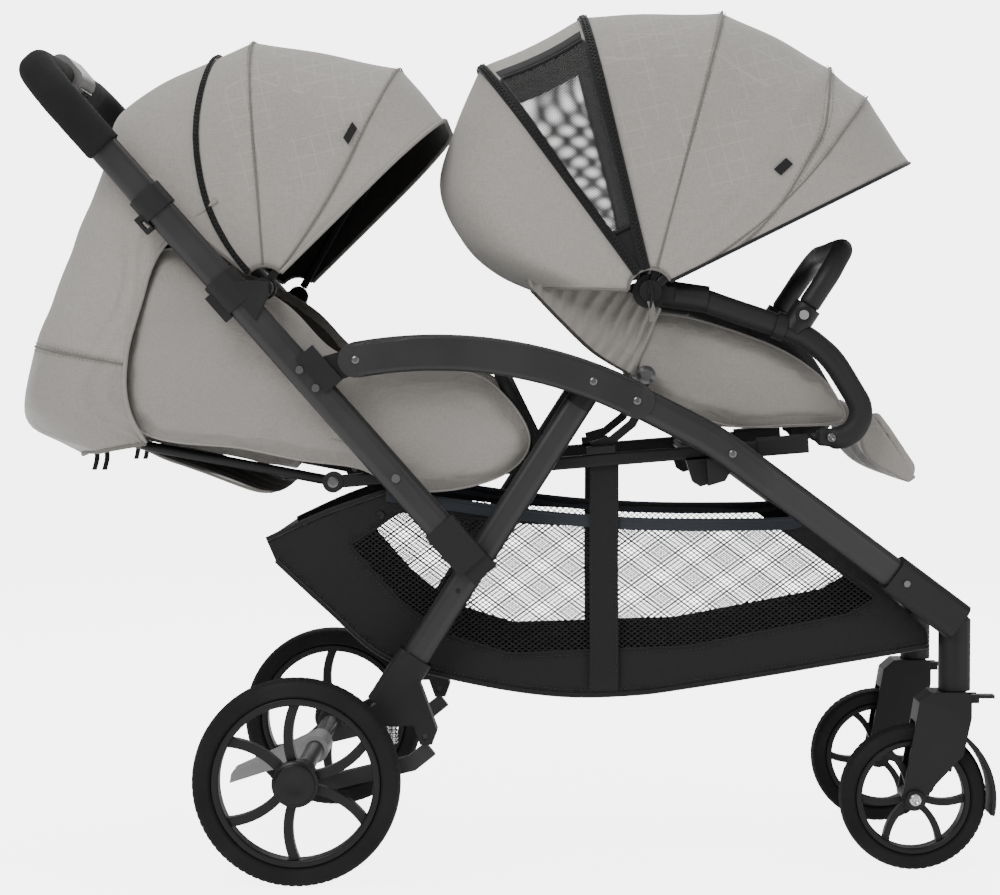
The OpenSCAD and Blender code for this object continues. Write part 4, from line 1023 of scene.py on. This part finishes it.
def basket_side(x, z):
    """Where the side cloth stands: full in the middle, held in along its edges."""
    top = np.interp(x, BASKET_TOP[:, 0], BASKET_TOP[:, 1])
    low = np.interp(x, BASKET_BOTTOM[:, 0], BASKET_BOTTOM[:, 1])
    t = np.clip((z - low) / max(top - low, 1e-4), 0, 1)
    slack = 0.0016 * noise.noise(Vector((x * 16, 3.1, z * 22)))
    return float(basket_half(x) - 0.003 * math.sin(math.pi * t) * (1 - t) + slack - 0.001)


def basket_floor(x, y, z, share):
    """The bottom cloth sags between its sides, in loose folds."""
    across = 1 - (y / basket_half(x)) ** 2
    fold = noise.noise(Vector((x * 14, y * 9, 1.7)))
    return z - across * (0.007 + 0.006 * fold) * math.sin(math.pi * share)


chain = resample(BASKET_CHAIN, 0.009)
rim = resample(BASKET_TOP, 0.009)
outer = np.vstack([chain, rim[::-1][1:-1]])
hole = around(NET, 0.008)


def in_cloth(x, z):
    return inside(x, z, outer) and not inside(x, z, hole)


inner_points = [(x, z) for x in np.arange(-0.27, 0.5, 0.012)
                for z in np.arange(0.21, 0.45, 0.012) if in_cloth(x, z)]
flat = [Vector((float(a), float(b))) for a, b in [*outer, *hole, *inner_points]]
n_out, n_hole = len(outer), len(hole)
rings = [(i, (i + 1) % n_out) for i in range(n_out)]
rings += [(n_out + i, n_out + (i + 1) % n_hole) for i in range(n_hole)]
points, _, tris, *_ = delaunay_2d_cdt(flat, rings, [], 0, 1e-6)
points = np.array([(p[0], p[1]) for p in points])
tris = [t for t in tris if in_cloth(*points[list(t)].mean(0))]
verts, faces = [], []
for side in (-1, 1):
    base = len(verts)
    verts += [(x, side * basket_side(x, z), z) for x, z in points]
    faces += [tuple(base + i for i in (t if side < 0 else t[::-1])) for t in tris]
base = len(verts)
steps = np.linspace(-1, 1, 31)
for k, (x, z) in enumerate(chain):
    half = basket_side(x, z)
    verts += [(x, half * a, basket_floor(x, half * a, z, k / (len(chain) - 1))) for a in steps]
faces += [tuple(base + i for i in f) for f in grid_faces(len(chain), len(steps))]
basket = mesh_object("basket_cloth", verts, faces, ["black_cloth"])
bm = bmesh.new()
bm.from_mesh(basket.data)
bmesh.ops.remove_doubles(bm, verts=bm.verts, dist=0.0008)
bmesh.ops.recalc_face_normals(bm, faces=bm.faces)
basket_area = sum(f.calc_area() for f in bm.faces)
bm.to_mesh(basket.data)
bm.free()
modify(basket, "SOLIDIFY", thickness=0.0013, offset=0)
bake_modifiers(basket)
set_smooth(basket.data)
basket_extra = []
FINE_THREAD = 0.0004
top_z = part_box("basket")[1][2]
for side, word in SIDES:
    def on_side(line, lift):
        return np.array([(x, side * (basket_side(x, z) + lift), z) for x, z in line])

    def edge_line(corners):
        return on_side(resample(curved(corners, n=6), 0.008), 0.001)

    binding, bottom = edge_line(BASKET_TOP[2:]), edge_line(BASKET_BOTTOM[1:])
    hem = shrink(hole, -0.005)
    basket_extra += [
        lattice(f"basket_net_{word}", NET, (0.0078, 0.0058),
                lambda x, z: side * basket_side(x, z), "net", 0.0017),
        tube(f"basket_net_edge_{word}", on_side(hole, 0.0006), 0.0011, "net", 6, closed=True),
        ribbon(f"basket_binding_{word}", binding - (0, 0, 0.005), (0, 0.1, 1), 0.013, 0.0034,
               "slate"),
        tube(f"basket_rim_{word}", binding + (0, 0, 0.001), 0.0024, "slate"),
        tube(f"basket_rear_rim_{word}", edge_line(BASKET_TOP[:3]), 0.0028, "black_cloth"),
        tube(f"basket_bottom_piping_{word}", bottom, 0.0026, "black_cloth"),
        stitches(f"basket_stitch_{word}", bottom + (0, side * 0.0008, 0.007), "webbing",
                 FINE_THREAD),
        stitches(f"basket_net_stitch_{word}", on_side(resample(np.vstack([hem, hem[:1]]), 0.004),
                                                      0.0012), "webbing", FINE_THREAD)]
    strap = [(0.117, side * 0.1835, top_z), (0.117, side * 0.1842, 0.44),
             (0.1165, side * 0.1838, 0.36), (0.117, side * 0.1832, 0.28),
             (0.117, side * 0.1826, 0.232), (0.117, side * 0.179, 0.213),
             (0.117, side * 0.168, 0.2085)]
    strap = resample(curved(strap), 0.004)
    basket_extra.append(ribbon(f"basket_strap_{word}", strap, (1, 0, 0), 0.034, 0.0018,
                               "webbing"))
    for dx in (-0.0145, 0.0145):
        basket_extra.append(stitches(f"basket_strap_stitch_{word}_{int(dx > 0)}",
                                     strap[:-8] + (dx, side * 0.0012, 0), "black_cloth",
                                     FINE_THREAD))


def dome(name, centre, axis, radius, height, material, rings=6, sides=28, dish=0.0):
    """A low button or cap: a turned profile with a rounded shoulder, dished in the middle."""
    axis = unit(np.array(axis, float))
    u = unit(np.cross(axis, (0.3, 0.5, 0.81)))
    v = np.cross(axis, u)
    profile = [(radius, 0.0)]
    profile += [(radius - height * (1 - math.cos(a)) * 0.8, height * math.sin(a))
                for a in np.linspace(0, math.pi / 2, rings)[1:]]
    profile += [(radius * 0.45, height * (1 - dish)), (0.0006, height * (1 - dish * 1.3))]
    c = np.array(centre, float)
    verts = [c + r * (math.cos(t) * u + math.sin(t) * v) + axis * h for r, h in profile
             for t in np.arange(sides) * 2 * math.pi / sides]
    faces = grid_faces(len(profile), sides, wrap=True) + end_caps(len(profile), sides)
    return mesh_object(name, verts, faces, material)


snap = (-0.146, 0.421)
for side, word in SIDES:
    basket_extra.append(dome(f"basket_snap_{word}", in_space(snap, side * basket_side(*snap)),
                             (0, side, 0), 0.006, 0.003, "plastic", dish=0.3))
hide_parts("basket")
ride_all([basket, *basket_extra], "chassis")


# ------------------------------------------------------------------ harnesses
BELT = (0.022, 0.002, "webbing")  # width, thickness and material


def block(name, size, place, axes, material, power=4.0, rows=14, sides=36):
    """A moulded block with softly rounded edges, from superellipse sections."""
    a, b, c = (0.5 * v for v in size)
    ax = [unit(np.array(v, float)) for v in axes]
    verts = []
    for t in np.linspace(-1, 1, rows):
        t = math.copysign(abs(t) ** 0.6, t)
        k = max(0.02, max(0.0, 1 - abs(t) ** power) ** (1 / power))
        for q in np.arange(sides) * 2 * math.pi / sides:
            cx, sx = math.cos(q), math.sin(q)
            x = a * k * math.copysign(abs(cx) ** (2 / power), cx)
            y = b * k * math.copysign(abs(sx) ** (2 / power), sx)
            verts.append(np.array(place) + ax[0] * x + ax[1] * y + ax[2] * c * t)
    faces = grid_faces(rows, sides, wrap=True) + end_caps(rows, sides)
    return mesh_object(name, verts, faces, material)


def harness(word, seat, seat_dir, seat_up, back, back_dir, back_up, half, body_back, long):
    """Crotch strap and buckle on the seat; shoulder belts, pads and waist belts on the back."""
    seat3, s3, u3, back3, b3, n3 = (in_space(v) for v in (seat, seat_dir, seat_up, back,
                                                          back_dir, back_up))
    y = np.array((0.0, 1.0, 0.0))
    crotch = resample(curved([seat3, seat3 + u3 * 0.006 - s3 * 0.012, seat3 + u3 * 0.010
                              - s3 * 0.040, seat3 + u3 * 0.013 - s3 * 0.062]), 0.004)
    on_seat = [ribbon(f"{word}_crotch_strap", crotch, y, 0.026, 0.0022, "webbing"),
               block(f"{word}_buckle", (0.044, 0.040, 0.013), crotch[-1] - s3 * 0.012
                     + u3 * 0.004, (s3, y, u3), "plastic"),
               dome(f"{word}_buckle_button", crotch[-1] - s3 * 0.012 + u3 * 0.0095, u3, 0.011,
                    0.004, "housing", dish=0.4)]
    pad_u = block(f"{word}_crotch_pad", (0.050, 0.046, 0.011), seat3 - s3 * 0.022 + u3 * 0.007,
                  (s3, y, u3), "black_cloth", power=5.0)
    on_seat.append(pad_u)
    on_back = []
    for side, name in SIDES:
        yy = y * side
        top = back3 + b3 * long + yy * half
        belt = resample(curved([top - n3 * 0.004, top + n3 * 0.006 - b3 * 0.008,
                                top - b3 * 0.10 + n3 * 0.007 - yy * 0.004,
                                top - b3 * 0.165 + n3 * 0.006 - yy * 0.022]), 0.004)
        on_back.append(ribbon(f"{word}_shoulder_belt_{name}", belt, y, *BELT))
        sleeve = block(f"{word}_shoulder_pad_{name}", (0.118, 0.040, 0.013),
                       top - b3 * 0.078 + n3 * 0.0125 - yy * 0.004, (b3, y, n3), "black_cloth",
                       power=5.0, rows=12, sides=44)
        wrinkle(sleeve, 0.0012, 40, seed=side * 2.0)
        on_back.append(sleeve)
        on_back.append(block(f"{word}_belt_slide_{name}", (0.016, 0.030, 0.006),
                             belt[-5] + n3 * 0.001, (b3, y, n3), "plastic"))
        waist = resample(curved([back3 + b3 * 0.040 + yy * (half + 0.055) + n3 * 0.003,
                                 back3 + b3 * 0.036 + yy * half + n3 * 0.006,
                                 back3 + b3 * 0.050 + yy * 0.028 + n3 * 0.008]), 0.004)
        on_back.append(ribbon(f"{word}_waist_belt_{name}", waist, b3, *BELT))
    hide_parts("harnesses")
    ride_all(on_seat, "chassis")
    ride_all(on_back, body_back)


harness("rear", rail_a + rail_dir * 0.192 + rail_up * 0.0395, rail_dir, rail_up,
        back_a + back_dir * 0.02 + back_up * 0.0395, back_dir, back_up, 0.075, "rear_backrest",
        0.215)
harness("front", np.array((0.398, 0.5585)), np.array((1.0, 0.0)), np.array((0.0, 1.0)),
        piv + lean_up * 0.0305, lean, lean_up, 0.062, "front_backrest", 0.262)


# ------------------------------------------------------------------ padded tubes
def soften(node_name, body, material="cover", voxel=0.003, depth=0.0006, scale=30):
    """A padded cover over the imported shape: remeshed, rounded and softly creased."""
    src = frame["nodes"][node_name]
    o = add_object(f"{node_name}_cover", src.data.copy())
    o.matrix_world = src.matrix_world
    o.data.materials.clear()
    o.data.materials.append(M[material])
    modify(o, "REMESH", mode="VOXEL", voxel_size=voxel)
    modify(o, "SMOOTH", factor=0.5, iterations=4)
    bake_modifiers(o)
    set_smooth(o.data)
    wrinkle(o, depth, scale, seed=len(node_name))
    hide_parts(node_name)
    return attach(o, body)


soften("front_side_bars", "chassis")
soften("front_bumper_bar", "bumper_bar")
soften("rear_bumper_bar", "chassis")
soften("handle_grips", "push_bar", "foam", 0.0028, 0.0004, 60)


# ------------------------------------------------------------------ loose cloth
def gather(name, upper, lower, y_mid, folds=11, depth=0.0036, rows=22, cols=60):
    """A gathered strip between two lines in the side view, rippled across its length."""
    t = np.linspace(0, 1, cols)
    up, low = (evenly(curved(c, n=10), t) for c in (upper, lower))
    verts = []
    for i in range(rows):
        s = i / (rows - 1)
        for j in range(cols):
            x, z = up[j] * (1 - s) + low[j] * s
            ripple = depth * math.sin(folds * t[j] * 2 * math.pi + 1.7 * s
                                      + 2 * noise.noise(Vector((x * 20, z * 20, 0))))
            ripple *= 0.35 + 0.65 * math.sin(math.pi * min(1, s + 0.25))
            verts.append((x, y_mid + ripple, z + 0.3 * abs(ripple)))
    o = mesh_object(name, verts, grid_faces(rows, cols), "satin")
    thicken(o, 0.0012)
    area = grid_area(np.array(verts).reshape(rows, cols, 3))
    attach(o, "chassis")


for side, word in SIDES:
    gather(f"front_gather_{word}",
           [(0.020, 0.706), (0.075, 0.698), (0.145, 0.684), (0.185, 0.664)],
           [(0.030, 0.690), (0.066, 0.652), (0.108, 0.612), (0.152, 0.585)],
           side * 0.1645)

drop3, drop_n, root = in_space(drop), in_space(drop_up), in_space(hinge)
verts = []
for i, t in enumerate(np.linspace(0, 1, 26)):
    deep = 0.006 + 0.026 * math.sin(math.pi * min(1, 0.15 + 0.8 * t))
    for q in np.linspace(-1, 1, 61):
        y = 0.1545 * max(-1, min(1, q * 1.22))
        down = deep * min(1, (1 - abs(q)) / 0.18) ** 0.7
        fold = 0.0035 * math.sin(7 * t + 9 * q) * min(1, (1 - abs(q)) * 4) * math.sin(math.pi * t)
        verts.append(root + drop3 * (0.002 + 0.094 * t) - drop_n * (down + fold)
                     + np.array((0, y, 0)))
skirt = mesh_object("calf_rest_gusset", verts, grid_faces(26, 61), "satin")
thicken(skirt, 0.0013)
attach(skirt, "calf_rest")

under_line = curved([(-0.436, 0.502), (-0.400, 0.486), (-0.350, 0.468), (-0.300, 0.450),
                     (-0.276, 0.447)])
UNDER_HALF, SAG = 0.165, 0.004
rows_y = np.linspace(-UNDER_HALF, UNDER_HALF, 41)
verts = []
for k, (x, z) in enumerate(under_line):
    free = math.sin(math.pi * k / (len(under_line) - 1))
    for y in rows_y:
        ripple = math.sin(9 * y * math.pi / (2 * UNDER_HALF) + x * 30) * free
        verts.append((x, y, z + SAG * ripple - SAG * (1 - (y / UNDER_HALF) ** 2)))
under = mesh_object("under_flap", verts, grid_faces(len(under_line), len(rows_y)),
                    ["satin", "brown"])
thicken(under, 0.0014, material_offset=1)
under_edge = [tube(f"under_flap_edge_{i}", resample([in_space(p, side * UNDER_HALF)
                                                     for p in under_line], 0.006),
                   0.0018, "seam", 6) for i, (side, _) in enumerate(SIDES)]
ride_all([under, *under_edge], "rear_backrest")


# ------------------------------------------------------------------ tyres
def tyre(node_name, rim_name, body, teeth=84):
    """A turned tyre with a groove beside each shoulder and a ribbed tread."""
    lo, hi = (np.array(v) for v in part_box(node_name))
    c, r_out, w = (lo + hi) / 2, (hi[0] - lo[0]) / 2, (hi[1] - lo[1]) / 2
    rim_lo, rim_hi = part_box(rim_name)
    seat_depth, groove_depth, rib_depth = 0.0012, 0.0013, 0.0008
    r_in = (rim_hi[0] - rim_lo[0]) / 2 - seat_depth
    d = r_out - r_in
    ring = []
    for a in np.linspace(0, 2 * math.pi, 49)[:-1]:
        ca, sa = math.cos(a), math.sin(a)
        r = r_in + d / 2 + d / 2 * math.copysign(abs(ca) ** 0.55, ca)
        y = w * math.copysign(abs(sa) ** 0.75, sa)
        share = y / w
        tread = ca > 0.35
        if 0.30 < abs(share) < 0.42 and tread:
            r -= groove_depth
        if 0.80 < abs(share) and -0.35 < ca < 0.0:
            y *= 0.965
        ring.append((r, y, tread and abs(share) > 0.42))
    rows = teeth * 4
    verts = []
    for i in range(rows):
        t = 2 * math.pi * i / rows
        for r, y, cut in ring:
            q = r - (rib_depth if cut and i % 4 == 0 else 0.0)
            verts.append((c[0] + q * math.cos(t), c[1] + y, c[2] + q * math.sin(t)))
    faces = grid_faces(rows, len(ring), wrap=True, closed=True)
    o = mesh_object(f"{node_name}_treaded", verts, faces, "tyre")
    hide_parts(node_name)
    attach(o, body)


for word in ("right", "left"):
    tyre(f"rear_tyre_{word}", f"rear_rim_{word}", f"rear_wheel_{word}")
    tyre(f"front_tyre_{word}", f"front_rim_{word}", f"front_wheel_{word}", 60)



def face_dome(name, place, node_name, side, sunk, radius, height, material, body, dish=0.0):
    """A cap on the outer face of a node, at a place in the side view."""
    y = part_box(node_name)[1 if side > 0 else 0][1] - side * sunk
    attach(dome(name, in_space(place, y), (0, side, 0), radius, height, material, dish=dish),
            body)


for side, word in SIDES:
    fork, castor, spin = f"castor_fork_{word}", f"castor_{word}", f"front_wheel_{word}_spin"
    face_dome(f"rear_hub_face_{word}", (-0.238, 0.12), f"rear_hub_cap_{word}", side, 0.0004,
              0.0235, 0.0026, "gloss", f"rear_wheel_{word}", 0.5)
    face_dome(f"side_bar_bolt_{word}", (0.382, 0.513), "front_side_bars", side, 0.0012, 0.006,
              0.0034, "rivet", "chassis", 0.4)
    face_dome(f"front_axle_bolt_{word}", joint_xz(spin), fork, side, 0.0004, 0.0078, 0.0042,
              "steel", castor, 0.5)
    face_dome(f"front_axle_washer_{word}", joint_xz(spin), fork, side, 0.0004, 0.0115, 0.0014,
              "gloss", castor)


# ------------------------------------------------------------------ room
AROUND = 0.4  # how bright the floor and the backdrop are as lights on the object


def seen_by_camera(nt, socket, straight, around):
    """The backdrop is white to the lens and softer as a light on the object."""
    path = nt.nodes.new("ShaderNodeLightPath")
    gain = math_node(nt, "MULTIPLY", path.outputs["Is Camera Ray"], straight - around)
    nt.links.new(math_node(nt, "ADD", gain, around), socket)


def studio_floor(reach):
    m, nt, bsdf = new_material("studio_floor")
    bsdf.inputs["Base Color"].default_value = (0.9, 0.9, 0.9, 1)
    bsdf.inputs["Roughness"].default_value = 0.6
    bsdf.inputs["Emission Color"].default_value = (1, 1, 1, 1)
    seen_by_camera(nt, bsdf.inputs["Emission Strength"], 4.8, AROUND)
    me = bpy.data.meshes.new("studio_floor")
    corners = [(x * reach, y * reach, 0) for x, y in ((-1, -1), (1, -1), (1, 1), (-1, 1))]
    me.from_pydata(corners, [], [(0, 1, 2, 3)])
    me.materials.append(m)
    set_smooth(me)
    add_object("studio_floor", me)


def area_light(name, place, size, power):
    """A rectangular light aimed at the middle of the object."""
    light = bpy.data.lights.new(name, "AREA")
    light.shape = "RECTANGLE"
    light.size, light.size_y = size
    light.energy = power
    o = add_object(name, light)
    o.location = place
    aim = Vector((0, 0, 0.5)) - Vector(place)
    o.rotation_euler = aim.to_track_quat("-Z", "Y").to_euler()


studio_floor(30)  # metres to each side
world = bpy.data.worlds.new("studio_world")
bpy.context.scene.world = world
world.use_nodes = True
backdrop = world.node_tree.nodes["Background"].inputs
backdrop[0].default_value = (1, 1, 1, 1)
seen_by_camera(world.node_tree, backdrop[1], 5.2, AROUND)
area_light("key_light", (-1.6, -2.6, 3.0), (1.8, 1.8), 84)
area_light("fill_light", (2.8, -2.4, 1.4), (1.6, 2.4), 20)
area_light("top_light", (0.2, 0.4, 3.4), (3.0, 2.0), 52)
area_light("back_light", (0.6, 3.0, 2.2), (3.0, 1.5), 35)
CAMERA_PLACE, CAMERA_AIM = (0.0425, -3.325, 0.613), (-0.01536, 1.0, -0.03577)
cam_data = bpy.data.cameras.new("camera")
cam_data.lens = 96.1
cam_data.sensor_width = 36.0
camera = add_object("camera", cam_data)
camera.location = CAMERA_PLACE
camera.rotation_mode = "QUATERNION"
camera.rotation_quaternion = Vector(CAMERA_AIM).to_track_quat("-Z", "Y")
bpy.context.scene.camera = camera
